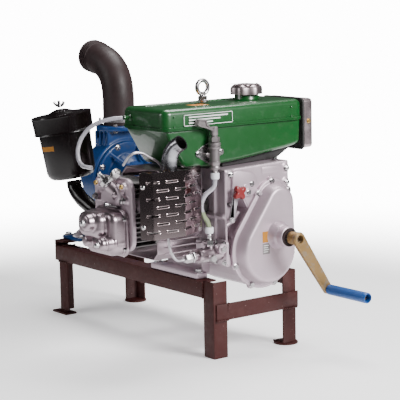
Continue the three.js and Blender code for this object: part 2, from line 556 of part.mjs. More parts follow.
function buildFuelCock() {
  const { x, y, z0, plateX, lug: reach } = cock;
  const stemZ = z0 + 86;
  const body = turned([[z0, 0], [z0, 8], [z0 + 6, 8], [z0 + 6, 13], [z0 + 26, 13], [z0 + 26, 12],
    [z0 + 58, 12], [z0 + 58, 15], [z0 + 70, 15], [z0 + 70, 8], [stemZ, 8], [stemZ, 0]], 'z', x, y, 10);
  const plateZ = z0 + 44;
  const lug = (side) => sweep(link(y, plateZ, 24, y + side * reach, plateZ, 6), 'x', plateX, plateX + 6,
    { segments: 3 });
  const neckTube = disc('x', plateX + 5, x, 10, y, plateZ, 12);
  const screws = [reach, -reach].map((dy) => disc('x', plateX + 5, plateX + 11, 6, y + dy, plateZ, 6));
  add('fuel_cock', 'casting', join(body, lug(1), lug(-1), neckTube, ...screws));
  const hub = turned([[stemZ + gap, 0], [stemZ + gap, 9], [stemZ + 20, 9], [stemZ + 20, 0]], 'z', x, y, 12);
  const bar = sweep(outline([[y, stemZ + 9], [y, stemZ + 18], [y - 20, stemZ + 26], [y - 24, stemZ + 38],
    [y - 46, stemZ + 40], [y - 50, stemZ + 28], [y - 44, stemZ + 24], [y - 26, stemZ + 20]]), 'x', x - 7, x + 7);
  add('fuel_cock_lever', 'casting', join(hub, bar));
}

// ---- speed control ----
const control = { y: 64, z: 391, plateX: 7 };

function buildControl() {
  const { y, z, plateX } = control;
  const shape = new THREE.Shape();
  shape.moveTo(56, 378);
  shape.lineTo(112, 376);
  shape.absarc(104, 404, 29, -Math.PI / 2 + 0.3, Math.PI / 2);
  shape.lineTo(72, 440);
  shape.lineTo(58, 428);
  add('governor_plate', 'casting', cut(join(sweep(shape, 'x', 0, plateX, { segments: 8 }),
    disc('x', plateX - 1, plateX + 5, 6, 114, 405, 6), disc('x', plateX - 1, plateX + 3, 8, 96, 398, 8)),
  sweep(coverShape(-2), 'x', -1, 20, { segments: 8 })));
  add('speed_lever', 'steel', join(sweep(link(y, z, 9, 50, 326, 7), 'x', plateX + gap, plateX + 5, { segments: 4 }),
    disc('x', plateX + 1, plateX + 9, 6, 50, 326, 8)));
  const lobes = [];
  for (let i = 0; i < 24; i += 1) {
    const angle = (i / 24) * 2 * Math.PI;
    const r = 15 + 5 * Math.cos(4 * (angle - 0.9));
    lobes.push([y + r * Math.cos(angle), z + r * Math.sin(angle)]);
  }
  add('speed_knob', 'red', join(sweep(outline(lobes), 'x', plateX + 9, plateX + 24, { bevel: 2.5 }),
    disc('x', plateX + 5 + gap, plateX + 10, 7, y, z, 12)));
}

// ---- fuel tank, cap, lifting eye and headlamp ----
function tankSide(inset) {
  const k = inset * 1.2;
  return outline([[-112 + k, tank.rim], [-60 + k, 458 + inset], [-50 + k, 454 + inset], [10, 452 + inset],
    [108, 459 + inset], [241, 475 + inset], [282, 482 + inset], [290 - inset, 490 + inset],
    [293 - inset, tank.rim]]);
}

function buildTank() {
  const { x0, x1, y0, y1, rim, top, skin } = tank;
  const outer = sweep(roundedRect(x0, x1, y0, y1, 22), 'z', 2 * rim - top, top, { bevel: 14, rise: 14, segments: 2 });
  const inner = sweep(roundedRect(x0 + skin, x1 - skin, y0 + skin, y1 - skin, 19), 'z', 2 * rim - top - 20, top - skin,
    { bevel: 14, rise: 14, segments: 2 });
  const neckTube = turned([[top - 4, neck.r - 3], [top - 4, neck.r], [neck.top, neck.r], [neck.top, neck.r - 3]],
    'z', neck.x, neck.y, round);
  const mouth = disc('z', top - 8, neck.top + 1, neck.r - 3, neck.x, neck.y, round);
  const nipple = disc('y', y0 - 14, y0 + 4, 5, -156, 567, 10);
  const below = block(x0 - 5, x1 + 5, y0 - 20, y1 + 5, rim - 80, rim + gap);
  add('tank_top', 'green', cut(join(cut(join(outer, nipple), inner, below), neckTube), mouth));

  const tub = cut(sweep(tankSide(0), 'x', x0 + 12, x1 - 12, { bevel: 4, segments: 3 }),
    sweep(tankSide(skin), 'x', x0 + 12 + skin, x1 - 12 - skin),
    block(x0, x1, -112, 300, rim - 1, rim + 10));
  const lipOuter = sweep(roundedRect(x0 + 2, x1 - 2, y0 + 2, y1 - 2, 14), 'z', rim - 3, rim, { segments: 3 });
  const lipInner = block(x0 + 15, x1 - 15, -106, 290, rim - 4, rim + 1);
  add('tank_bottom', 'green', join(tub, cut(lipOuter, lipInner)));

  // Bracket between the tank and the top of the crankcase.
  add('tank_bracket', 'satinBlack', sweep(outline([[66, 444.6], [232, 450.8], [286, 480.8], [241, 474.4],
    [108, 458.4], [66, 455.4]]), 'x', -150, -44));

  const lobes = [];
  for (let i = 0; i < 24; i += 1) {
    const angle = (i / 24) * 2 * Math.PI;
    const r = neck.capR - 2 + 2 * Math.cos(6 * angle);
    lobes.push([neck.x + r * Math.cos(angle), neck.y + r * Math.sin(angle)]);
  }
  add('filler_cap', 'chrome', cut(sweep(outline(lobes), 'z', neck.top - 10, neck.capTop, { bevel: 4, rise: 6 }),
    disc('z', neck.top - 11, neck.top + gap, neck.r + 1.5, neck.x, neck.y, round)));

  const ring = solid(new THREE.TorusGeometry(eye.ringR, eye.wire, 6, 14).rotateY(Math.PI / 2)
    .translate(eye.x, eye.y, eye.ringZ));
  add('lifting_eye', 'steel', join(ring, turned([[top + gap, 0], [top + gap, 13], [top + 6, 13], [top + 6, 10],
    [top + 14, 10], [top + 14, 6], [eye.ringZ - eye.ringR, 6], [eye.ringZ - eye.ringR, 0]], 'z', eye.x, eye.y, 12)));
}

function buildLamp() {
  const { x0, x1, y0, y1, z0, z1 } = lamp;
  const back = tank.y1 + gap;
  add('headlamp_housing', 'satinBlack', sweep(roundedRect(x0 - 2, x1 + 2, z0 - 4, z1 + 2, 12), 'y', back, y0,
    { segments: 3 }));
  const rimShape = roundedRect(x0, x1, z0, z1, 10);
  const screw = disc('x', x1 - 1, x1 + 5, 6, 318, 535, 6);
  // Pressed shell with the lens set into its rim; hollow behind, where the housing closes it.
  add('headlamp_shell', 'chrome', cut(join(sweep(rimShape, 'y', y0 + gap, y1, { bevel: 3, segments: 2 }), screw),
    sweep(roundedRect(x0 + 9, x1 - 9, z0 + 9, z1 - 9, 7), 'y', y1 - 2, y1 + 1, { segments: 3 }),
    block(x0 + 4, x1 - 4, y0, y1 - 7, z0 + 4, z1 - 4)));
}

// ---- fan, flywheel and the drive to the pump ----
function buildFan() {
  const { x0, x1, r, wheel } = fan;
  const skin = 2.5;
  const ductOuter = block(x0, x1, -60, crank.y, 300, 412);
  const ductInner = block(x0 + skin, x1 - skin, -60 + skin, crank.y, 300 + skin, 412 - skin);
  const outlet = block(x1 - 5, x1 + 1, -50, 20, 308, 404);
  add('fan_cowl', 'casting', cut(join(disc('x', x0, x1, r, crank.y, crank.z, 24), ductOuter),
    disc('x', x0 + skin, x1 - skin, r - skin, crank.y, crank.z, 24), ductInner, outlet,
    disc('x', x0 - 1, x0 + 5, 62, crank.y, crank.z, 20), disc('x', x1 - 5, x1 + 1, 30, crank.y, crank.z, 16)));
  const blades = [];
  for (let i = 0; i < 8; i += 1) {
    const blade = new THREE.BoxGeometry(16, 34, 3).translate(0, 76, 0).rotateX((i * Math.PI) / 4)
      .translate(-241, crank.y, crank.z);
    blades.push(solid(blade));
  }
  add('flywheel', 'casting', join(turned([[-234, around(crank.journal)], [-234, wheel], [-206, wheel], [-206, 80],
    [-220, 80], [-220, 34], [-204, 34], [-204, around(crank.journal)]], 'x', crank.y, crank.z), ...blades));
}

function buildPump() {
  const { x, half, casing, flangeZ, flangeR, bore } = pump;
  const near = x + half;
  const far = x - half;
  const drive = fan.x0 - 20 - gap;
  add('pump_shaft', 'steel', turned([[x - 18, 0], [x - 18, 12], [x + 12, 12], [x + 12, 14],
    [drive - 118, 14], [drive - 118, 44], [drive - 104, 44], [drive - 104, 24], [drive - 16, 24],
    [drive - 16, 40], [drive, 40], [drive, 0]], 'x', crank.y, crank.z));
  add('pump_bearing_housing', 'pumpBlue', turned([[near + gap, around(14)], [near + gap, 100], [near + 12, 100],
    [near + 14, 66], [near + 40, 44], [near + 150, 40], [near + 150, 52], [near + 164, 52],
    [near + 164, around(14)]], 'x', crank.y, crank.z));

  const ring = disc('x', far, near, casing, crank.y, crank.z, 24);
  const throat = sweep(outline([[crank.y - 80, 400], [crank.y + 80, 400], [crank.y + 46, flangeZ - 10],
    [crank.y - 46, flangeZ - 10]]), 'x', far + 4, near - 4, { bevel: 6 });
  const flange = disc('z', flangeZ - 13, flangeZ, flangeR, x, crank.y);
  const foot = join(block(-698, -612, 22, 248, stand.padTop + gap, 207),
    block(far + 6, near - 6, 130, 226, 200, 300));
  const passage = disc('z', 400, flangeZ + 1, bore - 12, x, crank.y);
  add('pump_casing', 'pumpBlue', cut(join(ring, cut(throat, block(-700, -600, 0, 300, flangeZ, 520)), flange, foot),
    disc('x', far - 1, near - 8, 84, crank.y, crank.z), disc('x', near - 10, near + 1, 30, crank.y, crank.z, 16),
    passage));
  add('suction_cover', 'pumpBlue', turned([[far - gap, bore], [far - gap, 100], [far - 12, 100], [far - 14, 60],
    [far - 30, bore + 7], [far - 66, bore + 7], [far - 66, flangeR], [far - 78, flangeR], [far - 78, bore]],
  'x', crank.y, crank.z));

  const vanes = [];
  for (let i = 0; i < 6; i += 1) {
    const vane = new THREE.BoxGeometry(22, 46, 5).rotateX(0.6).translate(0, 46, 0).rotateX((i * Math.PI) / 3)
      .translate(x - 11, crank.y, crank.z);
    vanes.push(solid(vane));
  }
  add('impeller', 'casting', join(turned([[x, around(12)], [x, 74], [x + 5, 74], [x + 5, 28], [x + 11, 24],
    [x + 11, around(12)]], 'x', crank.y, crank.z), ...vanes));
}

function buildDischarge() {
  const { x, flangeZ } = pump;
  const { r, inner, endX, endZ } = hose;
  const y = crank.y;
  const route = [[x, y, flangeZ + gap], [x, y, 560], [x - 3, y, 596], [x - 18, y, 630], [x - 46, y, 655],
    [x - 86, y, 670], [endX, y, endZ]];
  const past = [[x, y, flangeZ - 5], ...route.slice(1, -1), [endX - 8, y, endZ + 3]];
  add('discharge_elbow', 'rubber', cut(pipe(route, r, 10, 14), pipe(past, inner, 10, 14)));
}

buildStand();
buildCase();
buildGearCover();
buildCrank();
buildCamshaft();
buildHandle();
buildCylinder();
buildHead();
buildRockerCover();
buildShroud();
buildExhaust();
buildAirCleaner();
buildFuelPump();
buildInjector();
buildLines();
buildFuelCock();
buildControl();
buildTank();
buildLamp();
buildFan();
buildPump();
buildDischarge();

const box = new THREE.Box3().setFromObject(machine);
machine.position.set(-(box.min.x + box.max.x) / 2, -(box.min.y + box.max.y) / 2, -box.min.z);

export default machine;
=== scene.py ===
import json
import math

import bpy
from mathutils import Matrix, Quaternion, Vector


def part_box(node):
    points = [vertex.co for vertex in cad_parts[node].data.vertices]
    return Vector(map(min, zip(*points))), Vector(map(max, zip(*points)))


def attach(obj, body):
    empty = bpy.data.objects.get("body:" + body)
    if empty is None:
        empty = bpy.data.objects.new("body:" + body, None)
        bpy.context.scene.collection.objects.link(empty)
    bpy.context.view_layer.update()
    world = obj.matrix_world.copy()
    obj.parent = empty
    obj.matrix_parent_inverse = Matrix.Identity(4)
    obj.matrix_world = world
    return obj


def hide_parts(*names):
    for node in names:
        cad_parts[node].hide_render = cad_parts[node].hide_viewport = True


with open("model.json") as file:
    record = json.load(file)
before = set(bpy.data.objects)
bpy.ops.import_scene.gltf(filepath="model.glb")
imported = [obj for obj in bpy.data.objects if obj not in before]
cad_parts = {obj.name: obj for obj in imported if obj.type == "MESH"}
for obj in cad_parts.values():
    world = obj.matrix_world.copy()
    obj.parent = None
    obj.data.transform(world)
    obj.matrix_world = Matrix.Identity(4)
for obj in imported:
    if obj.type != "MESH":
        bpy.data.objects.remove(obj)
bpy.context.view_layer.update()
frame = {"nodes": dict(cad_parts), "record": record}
print("frame loaded:", len(frame["nodes"]), "nodes")

# Sizes here are in millimetres from the near corner of the stand at the handle end, as on the design.
mm = 0.001
legLow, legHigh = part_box("leg_near_handle")
corner = Vector((legHigh.x, legLow.y, 0))
axisOf = {"x": Vector((1, 0, 0)), "y": Vector((0, 1, 0)), "z": Vector((0, 0, 1))}
crankLine = {"y": 178, "z": 355}
handleLine = {"y": 166, "z": 281}


def at(x, y, z):
    return corner + Vector((x, y, z)) * mm


cameraView = {"azimuth": 36.78, "elevation": 8.59, "roll": -1.17, "distance": 3.503, "lens": 135,
              "aim": at(-60.8, 12.1, 370.1)}
studio = {"floorSize": 9, "floorColor": (0.93, 0.925, 0.93), "floorGlow": 0.45, "fadeFrom": 0.9,
          "fadeTo": 2.4, "seen": 14, "fill": 0.045, "key": 210, "side": 26, "rim": 110,
          "lightAim": (0, 0, 0.35)}


def setCamera():
    turn, lift, roll = (math.radians(cameraView[part]) for part in ("azimuth", "elevation", "roll"))
    outward = Vector((math.cos(turn) * math.cos(lift), -math.sin(turn) * math.cos(lift), math.sin(lift)))
    bpy.ops.object.camera_add(location=cameraView["aim"] + outward * cameraView["distance"])
    camera = bpy.context.object
    camera.rotation_mode = "QUATERNION"
    camera.rotation_quaternion = outward.to_track_quat("Z", "Y") @ Quaternion((0, 0, 1), roll)
    camera.data.lens = cameraView["lens"]
    camera.data.clip_end = 60
    bpy.context.scene.camera = camera


def areaLight(name, place, size, power):
    bpy.ops.object.light_add(type="AREA", location=place)
    light = bpy.context.object
    light.name = name
    light.data.size = size
    light.data.energy = power
    light.rotation_euler = (Vector(place) - Vector(studio["lightAim"])).to_track_quat("Z", "Y").to_euler()


def setLights():
    areaLight("key_light", (2.9, 0.7, 1.9), 1.1, studio["key"])
    areaLight("side_light", (-1.2, -2.6, 1.5), 1.2, studio["side"])
    areaLight("rim_light", (-0.3, 0.9, 3.0), 1.6, studio["rim"])
    world = bpy.data.worlds.new("studio")
    bpy.context.scene.world = world
    world.use_nodes = True
    nodes, links = world.node_tree.nodes, world.node_tree.links
    seen, fill = nodes["Background"], nodes.new("ShaderNodeBackground")
    path, mix = nodes.new("ShaderNodeLightPath"), nodes.new("ShaderNodeMixShader")
    seen.inputs["Color"].default_value = (1, 1, 1, 1)
    seen.inputs["Strength"].default_value = studio["seen"]
    fill.inputs["Color"].default_value = (0.97, 0.95, 1, 1)
    fill.inputs["Strength"].default_value = studio["fill"]
    links.new(path.outputs["Is Camera Ray"], mix.inputs[0])
    links.new(fill.outputs[0], mix.inputs[1])
    links.new(seen.outputs[0], mix.inputs[2])
    links.new(mix.outputs[0], nodes["World Output"].inputs["Surface"])


class Wire:
    # A socket that takes part in arithmetic: each operator adds a Math node.
    def __init__(self, recipe, socket):
        self.recipe, self.socket = recipe, socket

    def __add__(self, other):
        return self.recipe.math("ADD", self, other)

    def __sub__(self, other):
        return self.recipe.math("SUBTRACT", self, other)

    def __rsub__(self, other):
        return self.recipe.math("SUBTRACT", other, self)

    def __mul__(self, other):
        return self.recipe.math("MULTIPLY", self, other)

    __radd__ = __add__
    __rmul__ = __mul__


class Recipe:
    def __init__(self, name, **shader):
        self.material = bpy.data.materials.new(name)
        self.material.use_nodes = True
        self.tree = self.material.node_tree
        self.shader = self.tree.nodes["Principled BSDF"]
        self.set(**shader)
        self.place = self.node("TexCoord", output="Object")

    def set(self, **shader):
        for name, value in shader.items():
            self.feed(self.shader.inputs[name.replace("_", " ")], value)

    def feed(self, socket, value):
        if isinstance(value, Wire):
            self.tree.links.new(value.socket, socket)
        elif hasattr(value, "__len__") and len(value) == 3 and len(socket.default_value) == 4:
            socket.default_value = (*value, 1)
        else:
            socket.default_value = value

    def node(self, kind, settings=None, sockets=None, output=0):
        made = self.tree.nodes.new("ShaderNode" + kind)
        for name, value in (settings or {}).items():
            if name == "stops":
                ends = made.color_ramp.elements
                (ends[0].position, ends[0].color), (ends[1].position, ends[1].color) = value[0], value[-1]
                for position, color in value[1:-1]:
                    ends.new(position).color = color
            else:
                setattr(made, name, value)
        for name, value in (sockets or {}).items():
            self.feed(made.inputs[name], value)
        return Wire(self, made.outputs[output])

    def math(self, operation, a, b):
        return self.node("Math", {"operation": operation}, {0: a, 1: b})

    def noise(self, scale, detail=3, roughness=0.55, stretch=None):
        place = self.place
        if stretch:
            place = self.node("Mapping", {}, {"Vector": place, "Scale": stretch})
        return self.node("TexNoise", {}, {"Vector": place, "Scale": scale, "Detail": detail,
                                          "Roughness": roughness})

    def spots(self, scale, low, high, **more):
        # Noise turned into patches: nothing below low, full above high.
        return self.node("MapRange", {"clamp": True}, {"Value": self.noise(scale, **more), "From Min": low,
                                                       "From Max": high})

    def mix(self, factor, a, b):
        return self.node("Mix", {"data_type": "RGBA"}, {0: factor, 6: a, 7: b}, output=2)

    def bump(self, height, distance):
        self.set(Normal=self.node("Bump", {}, {"Height": height, "Distance": distance * mm, "Strength": 1.0}))

    def part(self, axis):
        return self.node("SeparateXYZ", {}, {0: self.place}, output=axis.upper())


def shade(color, factor):
    return tuple(min(1, channel * factor) for channel in color)


def enamel(name, color, dust=(0.55, 0.52, 0.5), rough=0.28, peel=0.05, dirt=0.1, gloss=0.8, mirror=0.5):
    # Sprayed gloss paint with orange peel, thin dust and rubbed patches.
    r = Recipe(name, Coat_Weight=gloss, Coat_Roughness=0.06, Specular_IOR_Level=mirror)
    cloud = r.noise(9, 4)
    grime = r.spots(55, 0.56, 0.82, detail=6) * dirt
    tone = r.mix(cloud, shade(color, 0.82), shade(color, 1.16))
    r.set(Base_Color=r.mix(grime, tone, dust), Roughness=rough + r.noise(70, 4) * 0.16)
    r.bump(r.noise(420, 2) * 0.6 + r.noise(38, 2), peel)
    return r.material


def castMetal(name, color, metallic=0.62, rough=0.36, grain=0.05, pits=0.3):
    # Sand casting: fine grain, wide soft stains and scattered dark pits.
    r = Recipe(name, Metallic=metallic, Specular_IOR_Level=0.45)
    stain = r.noise(14, 5, 0.6)
    speck = r.spots(900, 0.6, 0.78, detail=2)
    tone = r.mix(stain, shade(color, 0.8), shade(color, 1.14))
    r.set(Base_Color=r.mix(speck * pits, tone, shade(color, 0.35)),
          Roughness=rough + r.noise(160, 4) * 0.22 + speck * 0.12)
    r.bump(r.noise(1100, 3) + r.noise(260, 3) * 0.8, grain)
    return r.material


def workedMetal(name, color, rough=0.25, stretch=(1, 1, 1), lines=0.02, metallic=1.0, stain=0.12, uneven=1.0):
    # Machined or rolled metal: fine lines one way and a few duller patches.
    r = Recipe(name, Metallic=metallic)
    line = r.noise(500, 3, stretch=stretch)
    dull = r.spots(40, 0.5, 0.8, detail=5)
    r.set(Base_Color=r.mix(dull * stain, color, shade(color, 0.45)),
          Roughness=rough + line * (0.12 * uneven) + dull * (0.16 * uneven))
    if lines:
        r.bump(line + r.noise(120, 2) * 0.5, lines)
    return r.material


def plasticLike(name, color, rough=0.4, grain=0.03, wear=0.08, **shader):
    r = Recipe(name, **shader)
    r.set(Base_Color=r.mix(r.noise(24, 5), shade(color, 0.86), shade(color, 1.12)),
          Roughness=rough + r.noise(180, 4) * 0.18 + r.spots(60, 0.6, 0.85) * wear)
    r.bump(r.noise(700, 3), grain)
    return r.material


def standPaint():
    # Brushed primer on rolled steel, with runs, dust and small chips to bare metal.
    color = (0.036, 0.0050, 0.0040)
    r = Recipe("stand_paint", Specular_IOR_Level=0.28)
    chip = r.spots(150, 0.69, 0.72, detail=5)
    dust = r.spots(26, 0.5, 0.9, detail=6) * 0.22
    tone = r.mix(r.noise(11, 5), shade(color, 0.72), shade(color, 1.35))
    r.set(Base_Color=r.mix(chip, r.mix(dust, tone, (0.12, 0.06, 0.056)), (0.24, 0.17, 0.155)),
          Roughness=0.42 + r.noise(90, 4) * 0.3, Metallic=chip * 0.5)
    r.bump(r.noise(330, 4) + r.noise(60, 3) * 1.4 - chip * 0.8, 0.16)
    return r.material


def rubberLook():
    color = (0.020, 0.0118, 0.0122)
    r = Recipe("rubber", Specular_IOR_Level=0.3)
    bloom = r.spots(13, 0.35, 0.8, detail=6)
    r.set(Base_Color=r.mix(bloom, color, shade(color, 1.9)), Roughness=0.36 + r.noise(60, 5) * 0.26)
    r.bump(r.noise(900, 3) * 0.7 + r.noise(150, 3), 0.10)
    return r.material


def zincLook():
    # Yellow zinc plate, rubbed dull along its length and bluish where it is worn.
    color = (0.27, 0.168, 0.066)
    r = Recipe("yellow_zinc", Metallic=0.75)
    worn = r.spots(70, 0.52, 0.7, detail=6)
    tone = r.mix(r.noise(20, 4), shade(color, 0.75), shade(color, 1.25))
    r.set(Base_Color=r.mix(worn * 0.55, tone, (0.22, 0.21, 0.19)), Roughness=0.34 + r.noise(140, 4) * 0.3)
    r.bump(r.noise(600, 3) + worn * 0.4, 0.06)
    return r.material


def hoseLook(name, fuelTop=None):
    # Clear PVC; below fuelTop it holds greenish fuel.
    r = Recipe(name, Roughness=0.12, IOR=1.45, Transmission_Weight=0.55, Specular_IOR_Level=0.7)
    clear, wet = (0.70, 0.68, 0.74), (0.42, 0.50, 0.30)
    if fuelTop is None:
        r.set(Base_Color=r.mix(r.noise(60, 3), shade(clear, 0.85), clear))
    else:
        fuel = r.node("MapRange", {"clamp": True}, {"Value": r.part("z"), "From Min": fuelTop,
                                                    "From Max": fuelTop - 4 * mm})
        r.set(Base_Color=r.mix(fuel, clear, wet))
    r.bump(r.noise(200, 2), 0.03)
    return r.material


def makeMaterials():
    tint = (0.50, 0.405, 0.455)
    return {
        "stand": standPaint(),
        "casting": castMetal("cast_aluminium", tint, rough=0.33),
        "bright": castMetal("bright_casting", (0.36, 0.29, 0.32), 0.95, 0.2, 0.008, 0.12),
        "iron": castMetal("grey_iron", (0.20, 0.19, 0.19), 0.6, 0.5),
        "zamak": castMetal("die_casting", (0.27, 0.24, 0.245), 0.8, 0.3, 0.02),
        "steel": workedMetal("bright_steel", (0.47, 0.45, 0.46), 0.2, lines=0.004),
        "pipeSteel": workedMetal("drawn_steel", (0.50, 0.47, 0.50), 0.4, lines=0.002),
        "darkSteel": workedMetal("dark_steel", (0.16, 0.15, 0.15), 0.4),
        "stainless": workedMetal("rolled_stainless", (0.31, 0.25, 0.255), 0.125, (1, 1, 0.05), 0.0, stain=0.3,
                                 uneven=0.12),
        "chrome": workedMetal("chrome_plate", (0.72, 0.70, 0.73), 0.05, lines=0.0, stain=0.3),
        "plated": workedMetal("dull_plate", (0.50, 0.42, 0.435), 0.3, lines=0.0, stain=0.3),
        "tailpipe": workedMetal("plated_pipe", (0.34, 0.34, 0.365), 0.16, lines=0.0, stain=0.5),
        "zinc": zincLook(),
        "brass": workedMetal("brass", (0.55, 0.37, 0.13), 0.3),
        "green": enamel("tank_enamel", (0.0022, 0.062, 0.0095), dirt=0.04, peel=0.03, gloss=0.6),
        "blue": enamel("pump_enamel", (0.0001, 0.032, 0.135), dust=(0.06, 0.045, 0.035), rough=0.34,
                       peel=0.12, dirt=0.4, gloss=0.15, mirror=0.35),
        "black": enamel("black_enamel", (0.003, 0.0012, 0.0014), dust=(0.05, 0.036, 0.034), rough=0.16,
                        peel=0.012, gloss=0.12, mirror=0.3),
        "satin": plasticLike("satin_black", (0.014, 0.013, 0.013), 0.5),
        "rubber": rubberLook(),
        "grip": plasticLike("grip_vinyl", (0.0, 0.06, 0.25), 0.38, Coat_Weight=0.1),
        "red": plasticLike("knob_red", (0.17, 0.0003, 0.0015), 0.4, Coat_Weight=0.15),
        "white": plasticLike("white_nylon", (0.72, 0.72, 0.76), 0.35),
        "whitePaint": plasticLike("white_print", (0.74, 0.76, 0.74), 0.4, 0.0),
        "yellow": plasticLike("yellow_label", (0.33, 0.125, 0.0), 0.55, 0.0),
        "greyPlate": plasticLike("grey_label", (0.20, 0.18, 0.185), 0.3, 0.0, Metallic=0.4),
        "orange": plasticLike("orange_label", (0.62, 0.22, 0.03), 0.4, 0.0),
        "clear": hoseLook("clear_hose"),
        "fuel": hoseLook("fuel_hose_wall", at(0, 0, 352).z),
        "lens": Recipe("lens_glass", Base_Color=(0.9, 0.93, 0.95), Roughness=0.04,
                       Transmission_Weight=0.85).material,
    }


def clearPick():
    if bpy.context.object and bpy.context.object.mode != "OBJECT":
        bpy.ops.object.mode_set(mode="OBJECT")
    bpy.ops.object.select_all(action="DESELECT")


def pick(*pieces):
    clearPick()
    for piece in pieces:
        piece.select_set(True)
    bpy.context.view_layer.objects.active = pieces[0]


def editAll(piece):
    pick(piece)
    bpy.ops.object.mode_set(mode="EDIT")
    bpy.ops.mesh.select_all(action="SELECT")


def closeEdit():
    # Merges what meets and turns every face outwards.
    bpy.ops.mesh.select_all(action="SELECT")
    bpy.ops.mesh.remove_doubles(threshold=0.00001)
    bpy.ops.mesh.normals_make_consistent(inside=False)
    bpy.ops.object.mode_set(mode="OBJECT")


def modify(piece, kind, **settings):
    pick(piece)
    modifier = piece.modifiers.new(kind, kind)
    for name, value in settings.items():
        setattr(modifier, name, value)
    bpy.ops.object.modifier_apply(modifier=modifier.name)
    return piece


def rounded(piece, width, segments=2, angle=30):
    return modify(piece, "BEVEL", width=width * mm, segments=segments, limit_method="ANGLE",
                  angle_limit=math.radians(angle), use_clamp_overlap=True)


def coat(piece, finish):
    piece.data.materials.clear()
    piece.data.materials.append(looks[finish])
    return piece


def laid(piece, start, toward):
    # From standing at the origin to lying at start, with its own Z turned toward the given direction.
    piece.rotation_mode = "QUATERNION"
    piece.rotation_quaternion = Vector((0, 0, 1)).rotation_difference(Vector(toward).normalized())
    piece.location = start
    pick(piece)
    bpy.ops.object.transform_apply(location=True, rotation=True, scale=True)
    return piece


def turned(name, rows, start, toward, finish, sides=48):
    # Rows of [distance along the axis, radius]: a vertex extruded along them, then spun.
    clearPick()
    bpy.ops.mesh.primitive_plane_add(size=mm)
    piece = bpy.context.object
    piece.name = name
    editAll(piece)
    bpy.ops.mesh.merge(type="CENTER")
    bpy.ops.transform.translate(value=(rows[0][1] * mm, 0, rows[0][0] * mm))
    for (before, wide), (after, wideAfter) in zip(rows, rows[1:]):
        step = ((wideAfter - wide) * mm, 0, (after - before) * mm)
        bpy.ops.mesh.extrude_region_move(TRANSFORM_OT_translate={"value": step})
    bpy.ops.mesh.select_all(action="SELECT")
    bpy.ops.mesh.spin(steps=sides, angle=2 * math.pi, center=(0, 0, 0), axis=(0, 0, 1))
    closeEdit()
    return coat(laid(piece, start, toward), finish)


def standing(name, rows, x, y, finish, sides=48):
    # Turned about an upright line.
    return turned(name, rows, at(x, y, 0), (0, 0, 1), finish, sides)


def lying(name, rows, y, z, finish, sides=48):
    # Turned about a line along X, as the crankshaft is.
    return turned(name, rows, at(0, y, z), (1, 0, 0), finish, sides)


def ring(rows):
    # A turned profile that closes on itself, for a piece with a hole along it.
    return [*rows, rows[0]]


def spread(axis, along, a, b):
    return {"x": (along, a, b), "y": (a, along, b), "z": (a, b, along)}[axis]


def stacked(name, outline, axis, start, rows, finish, facing=1):
    # A flat face across the axis, then raised by rows of [inset, rise].
    clearPick()
    bpy.ops.mesh.primitive_circle_add(vertices=len(outline), fill_type="NGON")
    piece = bpy.context.object
    piece.name = name
    direction = axisOf[axis] * facing
    for turnRound in (False, True):
        points = list(reversed(outline)) if turnRound else outline
        for vertex, (a, b) in zip(piece.data.vertices, points):
            vertex.co = at(*spread(axis, start, a, b))
        piece.data.update()
        if piece.data.polygons[0].normal.dot(direction) > 0:
            break
    editAll(piece)
    for inset, rise in rows:
        if inset:
            bpy.ops.mesh.inset(thickness=inset * mm, depth=rise * mm)
        else:
            bpy.ops.mesh.extrude_region_move(TRANSFORM_OT_translate={"value": direction * rise * mm})
    closeEdit()
    return coat(piece, finish)


def block(name, xs, ys, zs, finish, bevel=1.0, segments=2):
    clearPick()
    center = at(*(sum(pair) / 2 for pair in (xs, ys, zs)))
    bpy.ops.mesh.primitive_cube_add(size=1, location=center,
                                    scale=[abs(pair[1] - pair[0]) * mm for pair in (xs, ys, zs)])
    piece = bpy.context.object
    piece.name = name
    bpy.ops.object.transform_apply(location=True, rotation=True, scale=True)
    if bevel:
        rounded(piece, bevel, segments)
    return coat(piece, finish)


def tube(name, points, radius, finish, steps=10, sides=6, wall=0):
    # A pipe on a smooth line through the points; with a wall it is open at both ends.
    clearPick()
    bpy.ops.curve.primitive_bezier_curve_add()
    line = bpy.context.object
    line.name = name
    data = line.data
    data.splines.clear()
    spline = data.splines.new("BEZIER")
    spline.bezier_points.add(len(points) - 1)
    for knot, point in zip(spline.bezier_points, points):
        knot.co = at(*point)
        knot.handle_left_type = knot.handle_right_type = "AUTO"
    data.dimensions = "3D"
    data.resolution_u = steps
    data.bevel_depth = radius * mm
    data.bevel_resolution = sides
    data.use_fill_caps = not wall
    bpy.ops.object.convert(target="MESH")
    piece = bpy.context.object
    editAll(piece)
    closeEdit()
    if wall:
        modify(piece, "SOLIDIFY", thickness=wall * mm, offset=-1)
    return coat(piece, finish)


def join(name, pieces):
    pick(*pieces)
    if len(pieces) > 1:
        bpy.ops.object.join()
    piece = bpy.context.object
    piece.name = name
    return piece


def carve(piece, *cutters):
    for cutter in cutters:
        modify(piece, "BOOLEAN", operation="DIFFERENCE", solver="EXACT", object=cutter)
        bpy.data.objects.remove(cutter)
    return piece


def melt(piece, voxel, rounds, finish):
    # Runs joined shapes into one casting with soft fillets.
    modify(piece, "REMESH", mode="VOXEL", voxel_size=voxel * mm)
    modify(piece, "SMOOTH", factor=0.5, iterations=rounds)
    return coat(piece, finish)


def copied(node, name, finish, bevel=0, segments=2):
    # A CAD node's own shape as a new mesh, with its loose triangles merged.
    source = frame["nodes"][node]
    piece = bpy.data.objects.new(name, source.data.copy())
    bpy.context.scene.collection.objects.link(piece)
    editAll(piece)
    closeEdit()
    modify(piece, "DECIMATE", decimate_type="DISSOLVE", angle_limit=math.radians(1))
    if bevel:
        rounded(piece, bevel, segments, 25)
    return coat(piece, finish)


